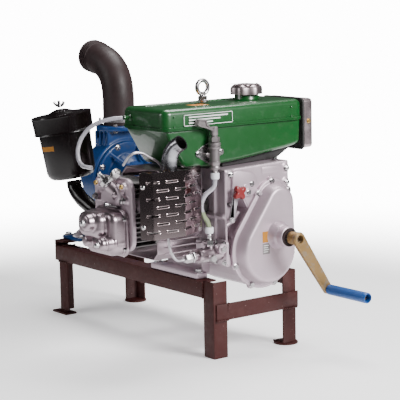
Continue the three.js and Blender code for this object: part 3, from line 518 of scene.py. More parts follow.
def settle(piece, body, slot, *nodes, angle=35):
    pick(piece)
    bpy.ops.object.shade_smooth_by_angle(angle=math.radians(angle))
    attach(piece, body)
    if nodes:
        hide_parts(*nodes)
    return piece


def hexBolt(place, toward, across=7, height=6, washer=10, finish="steel"):
    head = turned("bolt", [[0, 0], [0, across], [height - 1.2, across], [height, across - 1.4], [height, 0]],
                  place, toward, finish, 6)
    if washer:
        plate = turned("washer", [[-0.8, 0], [-0.8, washer], [0.7, washer], [0.7, 0]], place, toward, finish,
                       20)
        head = join("bolt", [head, plate])
    return head


def domeScrew(place, toward, r=7, height=4, finish="steel"):
    return turned("screw", [[0, 0], [0, r], [height * 0.4, r * 0.94], [height * 0.8, r * 0.66],
                            [height, r * 0.25], [height, 0]], place, toward, finish, 24)


def linkOutline(a0, b0, r0, a1, b1, r1, steps=40):
    along = math.atan2(b1 - b0, a1 - a0)
    lean = math.acos((r0 - r1) / math.hypot(a1 - a0, b1 - b0))
    first = (a0, b0, r0, along + lean, along - lean + 2 * math.pi)
    second = (a1, b1, r1, along - lean, along + lean)
    points = []
    for a, b, r, start, end in (first, second):
        for i in range(steps + 1):
            angle = start + (end - start) * i / steps
            points.append((a + r * math.cos(angle), b + r * math.sin(angle)))
    return points


def around(a, b, r, count, first):
    # Places round a circle, from an angle in degrees.
    for i in range(count):
        angle = math.radians(first + 360 / count * i)
        yield a + r * math.cos(angle), b + r * math.sin(angle)


def roundOutline(a0, a1, b0, b1, r, steps=8):
    corners = [(a1 - r, b0 + r, -90), (a1 - r, b1 - r, 0), (a0 + r, b1 - r, 90), (a0 + r, b0 + r, 180)]
    points = []
    for a, b, start in corners:
        for i in range(steps + 1):
            angle = math.radians(start + 90 * i / steps)
            points.append((a + r * math.cos(angle), b + r * math.sin(angle)))
    return points


def buildStand():
    for node in ("near_beam", "far_beam", "leg_near_handle", "leg_far_handle", "leg_near_pump",
                 "leg_far_pump", "handle_end_bar", "pump_end_bar", "middle_bar"):
        parts = [copied(node, node + "_iron", "stand", 1.1)]
        parts += [weld(*line) for line in welds.get(node, [])]
        settle(join(node + "_iron", parts), "engine", "stand_paint", node)


# Weld beads by the piece that they belong to: start and end.
welds = {
    "near_beam": [((-41, -1, 142), (-41, -1, 178)), ((-680, -0.5, 139), (-642, -0.5, 139)),
                  ((-662, 2, 181), (-662, 38, 181))],
    "far_beam": [((-680, 250.5, 139), (-642, 250.5, 139))],
    "handle_end_bar": [((4.5, 7, 91), (4.5, 38, 91)), ((4.5, 212, 91), (4.5, 248, 91)),
                       ((4.6, 40, 130), (1, 40, 92))],
    "leg_near_pump": [((-678, -1, 6), (-642, -1, 6))],
    "leg_far_handle": [((-38, 211, 6), (-5, 211, 6))],
}


def weld(start, end):
    steps = 9
    beads = []
    for i in range(steps + 1):
        share = i / steps
        place = [a + (b - a) * share for a, b in zip(start, end)]
        clearPick()
        bpy.ops.mesh.primitive_ico_sphere_add(subdivisions=2, radius=(2.6 + 0.5 * math.sin(i * 2.3)) * mm,
                                              location=at(*place))
        bpy.ops.object.transform_apply(location=True, rotation=True, scale=True)
        beads.append(coat(bpy.context.object, "stand"))
    return join("weld", beads)


tank = {"x": (-192, -16), "y": (-118, 298), "rim": 545, "corner": 22, "neck": (-104, 190, 28.5, 614)}


def buildTank():
    (x0, x1), (y0, y1), rim = tank["x"], tank["y"], tank["rim"]
    shape = roundOutline(x0, x1, y0, y1, tank["corner"], 10)
    top = stacked("tank_top_shell", shape, "z", rim + 0.4, [(0, 3), (0.6, 0.8), (2, 0.4), (0, 29), (0.8, 3),
                                                            (1.8, 3.4), (3.4, 3.4), (4.4, 2), (5, 0.9)],
                  "green")
    panel = block("panel", (x0 + 24, x1 - 24), (y0 + 26, y1 - 26), (586, 591), "green", 2.2, 3)
    band = block("band", (x0 + 34, x0 + 52), (y0 + 36, y1 - 36), (588, 593), "green", 2.2, 3)
    x, y, r, high = tank["neck"]
    neck = standing("neck", [[586, 0], [586, r + 7], [591, r + 6], [593, r + 1], [595, r], [high, r],
                             [high, r - 3], [590, r - 3], [590, 0]], x, y, "green", 64)
    nipple = turned("nipple", [[-14, 0], [-14, 5], [-11, 5.6], [-9, 4.6], [0, 4.6], [1, 8], [4, 9], [4, 0]],
                    at(-156, y0, 567), (0, 1, 0), "green", 24)
    rivets = [domeScrew(at(x1, a, b), (1, 0, 0), 2.2, 1.0, "green")
              for a, b in ((y0 + 30, 551), (y0 + 30, 574), (y1 - 40, 551), (y1 - 40, 574))]
    settle(join("tank_top_shell", [top, panel, band, neck, nipple, *rivets, *tankPlate()]), "engine",
           "tank_green", "tank_top", angle=30)

    side = [(-112, rim), (-63, 462), (-57, 456.5), (-49, 454), (10, 452), (108, 459), (241, 475),
            (275, 480.5), (285, 484), (290, 491), (293, rim)]
    tub = stacked("tank_bottom_shell", side, "x", x0 + 8, [(0, x1 - x0 - 16)], "green")
    rounded(tub, 9, 5, 40)
    lip = stacked("lip", roundOutline(x0 + 1, x1 - 1, y0 + 1, y1 - 1, tank["corner"], 8), "z", rim - 3.2,
                  [(0, 3)], "green")
    settle(join("tank_bottom_shell", [tub, lip]), "engine", "tank_green", "tank_bottom", angle=30)


def tankPlate():
    # A plain printed frame with three bars on the side, and a small label on top.
    x = tank["x"][1]
    y0, y1, z0, z1 = -62, 78, 551, 577
    line = 1.4
    bars = [((y0, y1), (z1 - line, z1)), ((y0, y1), (z0, z0 + line)), ((y0, y0 + line), (z0, z1)),
            ((y1 - line, y1), (z0, z1))]
    bars += [((y0 + 14, y1 - 14 - 22 * i), (z1 - 8 - 6.5 * i, z1 - 5 - 6.5 * i)) for i in range(3)]
    printed = [block("print", (x - 0.5, x + 0.15), ys, zs, "whitePaint", 0) for ys, zs in bars]
    return [*printed, block("label", (-92, -60), (0, 44), (590.5, 591.4), "orange", 0.2, 1)]


def buildCap():
    x, y, _, high = tank["neck"]
    lobes = []
    steps = 96
    for i in range(steps):
        angle = i / steps * 2 * math.pi
        r = 36.6 + 2.3 * math.cos(6 * angle)
        lobes.append((x + r * math.cos(angle), y + r * math.sin(angle)))
    cap = stacked("filler_cap_shell", lobes, "z", high - 9.5,
                  [(0, 13), (0.8, 3), (1.8, 3), (3, 2.6), (3.2, 1.6), (5, 1.2), (4, -0.4)], "plated")
    hollow = standing("hollow", [[high - 12, 0], [high - 12, 30], [high + 1, 30], [high + 1, 0]], x, y,
                      "chrome", 48)
    settle(carve(cap, hollow), "filler_cap", "chrome", "filler_cap", angle=30)


eye = {"place": (-104, 58, 629), "ring": 16, "wire": 5}


def buildEye():
    x, y, z = eye["place"]
    clearPick()
    bpy.ops.mesh.primitive_torus_add(major_radius=eye["ring"] * mm, minor_radius=eye["wire"] * mm,
                                     major_segments=56, minor_segments=20)
    loop = coat(laid(bpy.context.object, at(x, y, z), (1, 0, 0)), "steel")
    stem = standing("stem", [[594.4, 0], [594.4, 13], [598, 13], [599, 11], [600, 9.5], [608, 9.5], [609, 7],
                             [612, 6.2], [616, 7], [616, 0]], x, y, "steel")
    nut = standing("nut", [[600, 0], [600, 10], [601, 11], [607, 11], [608, 10], [608, 0]], x, y,
                 "steel", 6)
    settle(join("lifting_eye_bolt", [loop, stem, nut]), "engine", "machined_steel", "lifting_eye")


lamp = {"x": (-175, -25), "y": (305, 333), "z": (470, 590), "screws": (318, 535)}


def buildLamp():
    (x0, x1), (y0, y1), (z0, z1) = lamp["x"], lamp["y"], lamp["z"]
    shell = stacked("headlamp_chrome", roundOutline(x0, x1, z0, z1, 10), "y", y0 + 0.3,
                    [(0, 22), (0.8, 2.4), (2, 1.6), (3, 0.8), (4, 0), (1, -3)], "plated")
    lens = stacked("lens", roundOutline(x0 + 11, x1 - 11, z0 + 11, z1 - 11, 7), "y", y1 - 5,
                   [(0, 2.4), (3, 0.8)], "lens")
    screws = [hexBolt(at(x, *lamp["screws"]), (facing, 0, 0), 5, 4, 6, "brass")
              for x, facing in ((x1, 1), (x0, -1))]
    settle(join("headlamp_chrome", [shell, lens, *screws]), "engine", "chrome", "headlamp_shell")
    settle(copied("headlamp_housing", "headlamp_back", "satin", 2.5, 3), "engine", "satin_black",
           "headlamp_housing")


cover = {"low": (145, 246, 93), "high": (178, 355, 56)}


def coverOutline(inset, steps=44):
    lowY, lowZ, lowR = cover["low"]
    highY, highZ, highR = cover["high"]
    return linkOutline(lowY, lowZ, lowR - inset, highY, highZ, highR - inset, steps)


def coverRim(inset):
    low = [(*cover["low"], deg) for deg in (200, 245, 292, 335)]
    high = [(*cover["high"], deg) for deg in (150, 95, 28)]
    for y, z, r, deg in low + high:
        angle = math.radians(deg)
        yield y + (r - inset) * math.cos(angle), z + (r - inset) * math.sin(angle)


def buildGearCover():
    body = stacked("gear_cover_casting", coverOutline(0), "x", 0.2, [(0, 6.4), (0.7, 1), (1, 0.5), (6, 0.1),
                                                                     (1.2, 0.8), (1.2, 3), (1.4, 6),
                                                                     (3.2, 10), (2.2, 5), (2, 2.6),
                                                                     (2.4, 1.5), (3, 0.8), (4, 0.3)],
                   "casting")
    y, z = handleLine["y"], handleLine["z"]
    boss = lying("boss", [[30, 0], [30, 36], [37, 34.5], [40, 32], [44, 30.4], [52, 28.4], [60, 26.4],
                          [61, 25.4], [74, 24.4], [77, 23.6], [78, 22], [78, 12.6], [70, 12.6], [70, 0]], y,
                 z, "casting", 72)
    ears = [lying("ear", [[0.2, 0], [0.2, 9.5], [6, 9.5], [7.4, 8.4], [7.4, 0]], a, b, "casting", 28)
            for a, b in coverRim(4)]
    bolts = [hexBolt(at(7.6, a, b), (1, 0, 0), 6.2, 5.6, 8) for a, b in coverRim(5)]
    labels = [block("label", (37.6, 38.4), (118, 140), (268, 294), "yellow", 0.2, 1),
              block("label", (37.6, 38.3), (118, 140), (240, 266), "greyPlate", 0.2, 1)]
    labels += [block("line", (38.3, 38.5), (121, 137 - 3 * (i % 2)), (260 - 5 * i, 261.2 - 5 * i),
                     "whitePaint", 0) for i in range(4)]
    cast = join("gear_cover_casting", [body, boss, *ears])
    settle(join("gear_cover_casting", [cast, *bolts, *labels]), "engine", "cast_aluminium", "gear_cover",
           angle=32)
    seal = lying("shaft_seal_ring", ring([[78.4, 13], [78.4, 22], [80.6, 22], [81.6, 21], [81.6, 18],
                                          [80.4, 16.5], [80.4, 13]]), y, z, "rubber", 48)
    settle(seal, "engine", "black_rubber", "shaft_seal")


def buildHandle():
    y, z = handleLine["y"], handleLine["z"]
    low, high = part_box("handle_grip")
    gripY = ((low.y + high.y) / 2 - corner.y) / mm
    gripZ = (low.z + high.z) / 2 / mm
    arm = stacked("crank_handle_arm", linkOutline(y, z, 16, gripY, gripZ, 11.5, 20), "x", 106,
                  [(0, 8.8), (0.7, 0.9), (1, 0.3)], "zinc")
    sleeve = lying("sleeve", [[85.2, 0], [85.2, 13.5], [86.4, 15], [100, 15], [102, 14], [107, 14], [107, 0]],
                   y, z, "zinc", 40)
    rim = lying("rim", [[112, 0], [112, 14], [117.4, 14], [118, 13.2], [118, 0]], y, z, "zinc", 40)
    bore = lying("bore", [[80, 0], [80, 9.4], [122, 9.4], [122, 0]], y, z, "darkSteel", 32)
    arm = carve(modify(join("arm", [arm, sleeve, rim]), "REMESH", mode="VOXEL", voxel_size=0.7 * mm), bore)
    spindle = lying("spindle", [[113, 0], [113, 6], [229, 6], [229, 8], [235, 8], [235, 0]], gripY, gripZ,
                    "zinc", 24)
    settle(join("crank_handle_arm", [arm, spindle]), "starting_handle", "yellow_zinc", "crank_handle")
    end = (high.x - corner.x) / mm
    grip = lying("handle_grip_sleeve", ring([[116.6, 6.4], [116.6, 10.5], [118, 12], [122, 12.5],
                                             [end - 8, 12.7], [end - 2, 12.4], [end - 0.4, 11.4], [end, 10.4],
                                             [end - 0.6, 9.6], [end - 20, 9.4], [end - 20, 6.4]]), gripY,
                 gripZ, "grip", 48)
    settle(grip, "grip", "grip_blue", "handle_grip")


elbow = {"end": (-767, 677.6), "slope": 0.19, "outside": 42.4, "wall": 6, "ribs": 4, "ribPitch": 8}


def buildElbow():
    x, y = pumpPlace["x"], crankLine["y"]
    endX, endZ = elbow["end"]
    route = [(x, y, 495.6), (x, y, 540), (x - 1, y, 580), (x - 9, y, 615), (x - 28, y, 642), (x - 58, y, 661),
             (x - 92, y, 671.5), (endX, y, endZ)]
    pipe = tube("discharge_elbow_hose", route, elbow["outside"], "rubber", 12, 14, elbow["wall"])
    ribs = []
    for i in range(elbow["ribs"]):
        back = elbow["ribPitch"] * (i + 1)
        start = Vector((endX + back, y, endZ - back * elbow["slope"]))
        ribs.append(turned("rib", ring([[-2.2, 41], [-1.2, 44.6], [1.2, 44.6], [2.2, 41]]), at(*start),
                           (1, 0, -elbow["slope"]), "rubber", 56))
    band = standing("clamp", ring([[504, 41.5], [504, 43.6], [516, 43.6], [516, 41.5]]), x, y, "steel", 56)
    screw = hexBolt(at(x - 30, y - 38, 510), (-0.6, -0.8, 0), 5, 6, 0)
    settle(join("discharge_elbow_hose", [pipe, *ribs, band, screw]), "engine", "black_rubber",
           "discharge_elbow")


cleaner = {"foot": (-329, -168, 416), "lean": Quaternion((0.8, -0.6, 0), 0.148) @ Vector((0, 0, 1)),
           "seam": 124, "top": 153, "bowl": 62, "lid": 72}


def buildCleaner():
    start, up = at(*cleaner["foot"]), cleaner["lean"]
    seam, top, r, lid = (cleaner[part] for part in ("seam", "top", "bowl", "lid"))
    bowl = turned("air_cleaner_pot", [[0, 0], [0, 40], [1.4, 47], [5, 52.5], [11, 56.5], [18, 58.6],
                                      [seam - 16, r - 0.4], [seam + 8, r - 0.4], [seam + 8, 0]], start, up,
                  "black", 96)
    side = Vector((0.12, -0.99, 0)).normalized()
    label = curvedLabel(start, up, side, 60.6, 74, 104, 0.36)
    settle(join("air_cleaner_pot", [bowl, label]), "engine", "gloss_black", "air_cleaner_bowl", angle=30)
    cap = turned("air_cleaner_cap", [[seam - 13, 0], [seam - 13, lid - 1.5], [seam - 12, lid],
                                     [seam - 10, lid - 0.4], [seam - 8.6, lid - 1.6], [seam - 6, lid - 1.4],
                                     [top - 4, lid], [top - 1, lid + 0.6], [top + 1.8, lid - 1],
                                     [top + 2, lid - 3.4], [top, lid - 7], [top - 1, lid - 16], [top, 42],
                                     [top + 3, 36], [top + 9, 24], [top + 13, 12], [top + 14, 0]], start, up,
                 "black", 96)
    settle(cap, "engine", "gloss_black", "air_cleaner_lid", angle=30)
    hub = turned("wing_nut_part", [[top + 17.4, 0], [top + 17.4, 5.5], [top + 24, 5], [top + 25, 3.6],
                                   [top + 33, 3.4], [top + 33.6, 2.6], [top + 33.6, 0]], start, up, "steel",
                 24)
    wings = []
    for way in (1, -1):
        root = start + up * ((top + 22) * mm)
        out = Vector((0.6, 0.8, 0)) * way
        wings.append(tube("fin", [((root + out * a * mm + up * b * mm) - corner) / mm
                                  for a, b in ((3, -1), (8, 2), (12, 9))], 3.4, "steel", 6, 4))
    settle(join("wing_nut_part", [hub, *wings]), "wing_nut", "machined_steel", "wing_nut")
    route = [(-327, -166, 408), (-324, -166, 394), (-300, -168, 373), (-264, -167, 356), (-228, -165, 343),
             (-206, -165, 340), (-190.8, -165, 340)]
    pipe = tube("intake_pipe_hose", route, 17.6, "black", 10, 8, 2)
    settle(pipe, "engine", "gloss_black", "intake_pipe")


def curvedLabel(start, up, side, r, low, high, half):
    # A thin label that follows the round wall.
    across = up.cross(side).normalized()
    side = across.cross(up).normalized()
    clearPick()
    bpy.ops.mesh.primitive_grid_add(x_subdivisions=10, y_subdivisions=2, size=1)
    piece = bpy.context.object
    for vertex in piece.data.vertices:
        angle = vertex.co.x * 2 * half
        height = low + (vertex.co.y + 0.5) * (high - low)
        outward = side * math.cos(angle) + across * math.sin(angle)
        vertex.co = start + up * (height * mm) + outward * (r * mm)
    modify(piece, "SOLIDIFY", thickness=0.5 * mm, offset=0)
    return coat(piece, "yellow")


guard = {"start": (2.7, -201.6), "legs": (31, 87, 88), "headings": (28.1, 90, 118.3), "bend": 7,
         "z": (310, 460), "rows": 7, "pitch": 50, "slot": (33, 5), "first": 17, "thick": 1.6}


def foldLine():
    # The sheet's plan as (x, y, heading) every half millimetre along it.
    first, second, third = guard["legs"]
    x, y = guard["start"]
    step, line = 0.5, []
    corners = (first, first + second)
    for i in range(int((first + second + third) / step) + 2):
        s = i * step
        heading = guard["headings"][0]
        for foldAt, before, after in zip(corners, guard["headings"], guard["headings"][1:]):
            share = min(1, max(0, (s - foldAt) / guard["bend"] + 0.5))
            heading += (after - before) * share
        line.append((x, y, math.radians(heading)))
        x += step * math.cos(math.radians(heading))
        y += step * math.sin(math.radians(heading))
    return line


def fold(piece):
    # From the flat sheet (along, up, out) to the bent one.
    line = foldLine()
    for vertex in piece.data.vertices:
        along, up, out = (value / mm for value in vertex.co)
        place = min(max(along / 0.5, 0), len(line) - 1.001)
        low = int(place)
        x, y, heading = (a + (b - a) * (place - low) for a, b in zip(line[low], line[low + 1]))
        vertex.co = at(x + out * math.sin(heading), y - out * math.cos(heading), up)


def slotOutlines():
    long, wide = guard["slot"]
    low, high = guard["z"]
    total = sum(guard["legs"])
    for row in range(guard["rows"]):
        z = high - 22 - row * (high - low - 38) / (guard["rows"] - 1)
        start = guard["first"] + (row % 2) * guard["pitch"] / 2 - guard["pitch"]
        while start < total:
            a, b = max(start, guard["first"]), min(start + long, total - 8)
            if b - a > 2.2 * wide:
                yield roundOutline(a, b, z - wide / 2, z + wide / 2, wide / 2, 5)
            start += guard["pitch"]


def flatCurve(name, outlines, fill, extrude, bevel, lift=0):
    clearPick()
    bpy.ops.curve.primitive_bezier_circle_add()
    piece = bpy.context.object
    piece.name = name
    data = piece.data
    data.splines.clear()
    data.dimensions = "2D" if fill else "3D"
    if fill:
        data.fill_mode = "BOTH"
    data.extrude, data.bevel_depth, data.bevel_resolution = extrude * mm, bevel * mm, 2
    for outline in outlines:
        spline = data.splines.new("POLY")
        spline.points.add(len(outline) - 1)
        for point, (a, b) in zip(spline.points, outline):
            point.co = (a * mm, b * mm, lift * mm, 1)
        spline.use_cyclic_u = True
    bpy.ops.object.convert(target="MESH")
    return bpy.context.object


def buildGuard():
    (low, high), total = guard["z"], sum(guard["legs"])
    slots = list(slotOutlines())
    sheet = flatCurve("guard", [roundOutline(0, total, low, high, 3, 4), *slots], True, guard["thick"] / 2, 0)
    editAll(sheet)
    bpy.ops.mesh.remove_doubles(threshold=0.000001)
    first, second, _ = guard["legs"]
    for foldAt in (first, first + second):
        for i in range(-4, 5):
            bpy.ops.mesh.select_all(action="SELECT")
            bpy.ops.mesh.bisect(plane_co=((foldAt + i * guard["bend"] / 8) * mm, 0, 0), plane_no=(1, 0, 0))
    bpy.ops.object.mode_set(mode="OBJECT")
    rims = flatCurve("rims", slots, False, 0, 1.3, guard["thick"] / 2)
    edge = flatCurve("edge", [roundOutline(0.4, total - 0.4, low + 0.4, high - 0.4, 3, 4)], False, 0, 0.85)
    sheet = join("silencer_guard_sheet", [sheet, rims, edge])
    fold(sheet)
    coat(sheet, "stainless")
    editAll(sheet)
    closeEdit()
    heading = math.radians(guard["headings"][0])
    out = (math.sin(heading), -math.cos(heading), 0)
    x, y = (start + 8 * way(heading) for start, way in zip(guard["start"], (math.cos, math.sin)))
    screws = [domeScrew(at(x, y, z) + Vector(out) * 0.9 * mm, out, 6, 5) for z in (428, 338)]
    settle(join("silencer_guard_sheet", [sheet, *screws]), "engine", "stainless_sheet", "silencer_guard",
           angle=40)


exhaust = {"x": 4, "y": -120, "z": 449, "outside": 17.8, "wall": 1.4}


def buildExhaust():
    x, y, z = (exhaust[part] for part in ("x", "y", "z"))
    case = copied("silencer", "silencer_box", "darkSteel", 0.8)
    collar = standing("collar", ring([[444, 18.6], [444, 23], [452, 23], [453, 22], [457, 21.8],
                                      [457, 18.6]]), x, y, "steel", 40)
    lid = block("lid", (-20, 22), (-188, -104), (446, 448), "stainless", 0.8)
    nut = hexBolt(at(-8, -168, 448), (0, 0, 1), 5.5, 7, 8, "brass")
    settle(join("silencer_box", [case, collar, lid, nut]), "engine", "machined_steel", "silencer")
    route = [(x, y, z), (x, y, z + 24), (x + 4, y + 1, z + 44), (x + 16, y + 5, z + 62),
             (x + 33.4, y + 10, z + 73.6)]
    pipe = tube("pipe", route, exhaust["outside"], "tailpipe", 10, 14, exhaust["wall"])
    # A satin black lining inside the pipe: painted shade, so the inside of the mouth reads dark.
    painted_shade_lining = tube("painted_shade_lining", route, 16.3, "satin", 10, 10, 0.4)
    settle(join("exhaust_pipe_bend", [pipe, painted_shade_lining]), "engine", "chrome", "exhaust_pipe")


headPlace = {"x": (-184, -32), "y": -200, "z": (275, 441), "back": -120.3}


def buildHead():
    (x0, x1), y0, (z0, z1), back = (headPlace[part] for part in ("x", "y", "z", "back"))
    plate = stacked("plate", roundOutline(x0, x1, z0, z1, 26, 10), "y", y0 + 11,
                    [(0, 9.4), (0.6, 1), (1.2, 0.5)], "casting", -1)
    gasket = stacked("gasket", roundOutline(x0 + 8, x1 - 8, z0 + 8, z1 - 8, 20), "y", back - 9, [(0, 8.6)],
                     "iron")
    core = block("core", (x0 + 30, x1 - 30), (y0 + 8, back - 3), (z0 + 14, z1 - 14), "iron", 4)
    fins = [block("fin", (x0 + 9, x1 - 9), (y0 + 9, back - 7), (z, z + 3.2), "iron", 0.8)
            for z in range(z0 + 9, z1 - 8, 11)]
    exhaustPort = turned("port", ring([[-41, 16], [-41, 24], [7, 24], [8, 23], [8, 16]]), at(x1, -158, 382),
                         (1, 0, 0), "casting")
    intakePort = turned("port", ring([[-40, 15.5], [-40, 22], [5, 22], [6, 21], [6, 15.5]]),
                        at(x0, -165, 340), (-1, 0, 0), "casting")
    bosses = [turned("boss", [[-2, 0], [-2, r + 2], [3, r + 0.6], [8, r], [9, r - 1], [9, 0]],
                     at(x, y0 - 0.3, z), (0, -1, 0), "casting", 32)
              for x, z, r in ((x0 + 20, 392, 9), (x1 - 22, 392, 9), (x1 - 24, 424, 8), (x0 + 24, 424, 8))]
    pad = stacked("pad", linkOutline(-120, 396, 20, -84, 402, 26, 20), "y", y0 + 1, [(0, 6), (2, 6), (4, 4)],
                  "casting", -1)
    cast = melt(join("cast", [plate, core, pad, *bosses]), 1.7, 4, "casting")
    nuts = [hexBolt(at(x, y0 - 9, z), (0, -1, 0), 6.5, 8, 9) for x, z in ((x0 + 20, 392), (x1 - 22, 392))]
    nuts += [hexBolt(at(x, y0 - 9, z), (0, -1, 0), 5.5, 6, 0, "brass")
             for x, z in ((x1 - 24, 424), (x0 + 24, 424))]
    settle(join("cylinder_head_casting", [cast, gasket, *fins, exhaustPort, intakePort, *nuts]), "engine",
           "cast_aluminium", "cylinder_head", angle=38)


def acorn(place, toward, r=8):
    base = turned("acorn", [[-10, 0], [-10, r], [0, r], [3, r * 0.86], [3, 0]], place, toward, "steel", 6)
    dome = turned("dome", [[0, 0], [0, r * 0.8], [5, r * 0.8], [8, r * 0.6], [9.6, r * 0.3], [10, 0]], place,
                  toward, "steel", 24)
    return join("acorn", [base, dome])


rocker = {"x": (-168, -50), "z": (266, 368)}


def buildRocker():
    y0 = headPlace["y"] - 0.4
    (x0, x1), (z0, z1) = rocker["x"], rocker["z"]
    flange = stacked("flange", roundOutline(x0 - 5, x1 + 6, z0 - 3, z1 + 4, 22), "y", y0,
                     [(0, 6.4), (0.8, 0.8)], "bright", -1)
    lowBox = stacked("box", roundOutline(x0 + 1, x1 - 1, z0 + 1, z1 - 1, 22), "y", y0 - 5,
                   [(0, 24), (1, 5), (2, 3.4), (3, 2.4), (4, 1.4)], "bright", -1)
    shoulder = stacked("shoulder", roundOutline(x0 + 4, -74, 308, z1 - 3, 20), "y", y0 - 30,
                       [(0, 20), (1, 5), (2, 4), (3, 3), (5, 2)], "bright", -1)
    humps = [turned("hump", [[0, 0], [0, r + 1], [high - 12, r], [high - 4, r - 1.2], [high - 1.2, r - 3.4],
                             [high, r - 7], [high, 0]], at(x, y0 - 4, z), (0, -1, 0), "bright", 56)
             for x, z, r, high in ((-104, 344, 20, 78), (-68, 297, 16.5, 65), (-146, 294, 14, 52))]
    ribs = [turned("rib", [[0, 0], [0, r], [4, r], [5, r - 1], [5, 0]], at(x, y, z), (0, -1, 0), "bright", 56)
            for x, y, z, r in ((-104, y0 - 60, 344, 22), (-68, y0 - 30, 297, 19), (-68, y0 - 52, 297, 18))]
    cast = melt(join("cast", [flange, lowBox, shoulder, *humps, *ribs]), 1.4, 4, "bright")
    nuts = [acorn(at(-104, y0 - 83, 344), (0, -1, 0)), acorn(at(-68, y0 - 70, 297), (0, -1, 0), 7)]
    rimBolts = [hexBolt(at(x, y0 - 7, z), (0, -1, 0), 4.6, 5, 6)
                for x, z in ((x1 - 2, 350), (x1 - 2, 282), (x0 + 4, 282), (x0 + 4, 352))]
    settle(join("rocker_cover_casting", [cast, *nuts, *rimBolts]), "engine", "cast_aluminium", "rocker_cover",
           angle=45)
    settle(copied("decompression_lever", "decompression_arm", "pipeSteel", 1.4, 3), "decompression_lever",
           "machined_steel", "decompression_lever")


def between(start, end):
    return Vector(end) - Vector(start)


injector = {"tip": (-66, -193, 386), "tail": (-113, -230, 449), "side": (-98, -219, 430),
            "union": (-62, -208, 463)}


def buildInjector():
    tip, tail, side, union = (injector[part] for part in ("tip", "tail", "side", "union"))
    aim = between(tip, tail)
    holder = turned("holder", [[14, 0], [14, 10.6], [58, 10.6], [59, 11.4], [62, 12], [62, 0]], at(*tip), aim,
                    "steel")
    cap = turned("cap", [[59, 0], [59, 14.4], [60.4, 15.4], [70, 15.4], [71.4, 14.4], [72, 8.5], [72, 0]],
                 at(*tip), aim, "steel", 6)
    end = turned("end", [[70, 0], [70, 8], [80, 8], [81, 6.8], [83, 4.8], [85, 5.2], [87, 4.6], [89, 5.2],
                         [91, 4.4], [92, 3.4], [92, 0]], at(*tip), aim, "steel", 32)
    arm = turned("arm", [[2, 0], [2, 8], [22, 8], [23, 7], [24, 0]], at(*side), between(side, union), "steel",
                 32)
    nut = turned("nut", [[24, 0], [24, 10.4], [25.4, 11.6], [40, 11.6], [42, 10], [43, 6], [46, 4.6],
                         [46, 0]], at(*side), between(side, union), "steel", 6)
    collar = turned("collar", [[22, 0], [22, 17], [32, 17], [32, 0]], at(*tip), aim, "steel")
    sleeve = turned("sleeve", [[33, 0], [33, 14.5], [55, 14.5], [55, 0]], at(*tip), aim, "steel")
    clamp = melt(join("clamp", [collar, sleeve]), 1.1, 5, "bright")
    stud = turned("stud", [[0, 0], [0, 4], [22, 4], [22, 7], [29, 7], [29, 0]], at(-88, -203, 374),
                  (-0.3, -0.8, 0.25), "steel", 24)
    settle(join("injector_body", [holder, cap, end, arm, nut, clamp, stud]), "engine", "machined_steel",
           "injector", angle=38)


injectionPump = {"x": -14, "z": 249, "inletY": 2, "outletY": -71}


def buildInjectionPump():
    x, z, y = (injectionPump[part] for part in ("x", "z", "inletY"))
    flange = stacked("flange", roundOutline(x - 24, x + 24, z - 30, z + 30, 10), "y", 39.6,
                     [(0, 6.4), (0.8, 0.6)], "casting", -1)
    body = turned("body", [[-39, 0], [-39, 17], [-28, 17], [-26, 15.8], [22, 15.8], [24, 17], [33, 17],
                           [35, 15], [35, 11], [38, 11], [38, 9], [40, 9], [40, 11.4], [45, 11.4], [45, 9],
                           [48, 9], [48, 0]], at(x, 0, z), (0, -1, 0), "bright", 56)
    nut = turned("nut", [[50, 0], [50, 9.6], [51.2, 10.8], [68, 10.8], [70, 9.4], [71, 6], [71, 0]],
                 at(x, 0, z - 2), (0, -1, 0), "steel", 6)
    collar = turned("collar", [[45, 0], [45, 13], [46, 13.8], [49, 13.8], [50, 13], [50, 0]], at(x, 0, z),
                    (0, -1, 0), "steel", 6)
    rise = standing("rise", [[z, 0], [z, 10], [268, 10], [270, 9], [270, 0]], x, y, "bright", 32)
    hexes = standing("hexes", [[270, 0], [270, 13], [271, 14], [281, 14], [283, 12.6], [284, 7], [284, 0]], x,
                     y, "steel", 6)
    barb = standing("barb", [[283, 0], [283, 7], [286, 5.4], [289, 6.4], [292, 5.4], [295, 6.4], [298, 5],
                             [298, 0]], x, y, "steel", 32)
    bleedPlace = at(4, -6, z - 6)
    bleedNeck = turned("a", [[-2, 0], [-2, 8], [6, 8], [6, 0]], bleedPlace, (1, 0, 0), "steel", 24)
    bleedNut = turned("b", [[3, 0], [3, 8.4], [4, 9.4], [9, 9.4], [11, 8], [11, 0]], bleedPlace, (1, 0, 0),
                      "steel", 6)
    bleed = join("bleed", [bleedNeck, bleedNut])
    side = turned("side", [[-2, 0], [-2, 10], [8, 10], [9, 12], [16, 12], [17, 11], [17, 0]],
                  at(-2, 20, z + 14), (1, 0, 0), "casting", 32)
    sideNut = hexBolt(at(14, 20, z + 14), (1, 0, 0), 8, 6, 0)
    bolts = [hexBolt(at(x + a, 32.6, z + b), (0, -1, 0), 5.6, 5, 7) for b in (-22, 22) for a in (-17, 17)]
    settle(join("injection_pump_body", [flange, body, nut, collar, rise, hexes, barb, bleed, side, sideNut,
                                        *bolts]), "engine", "machined_steel", "injection_pump", angle=38)


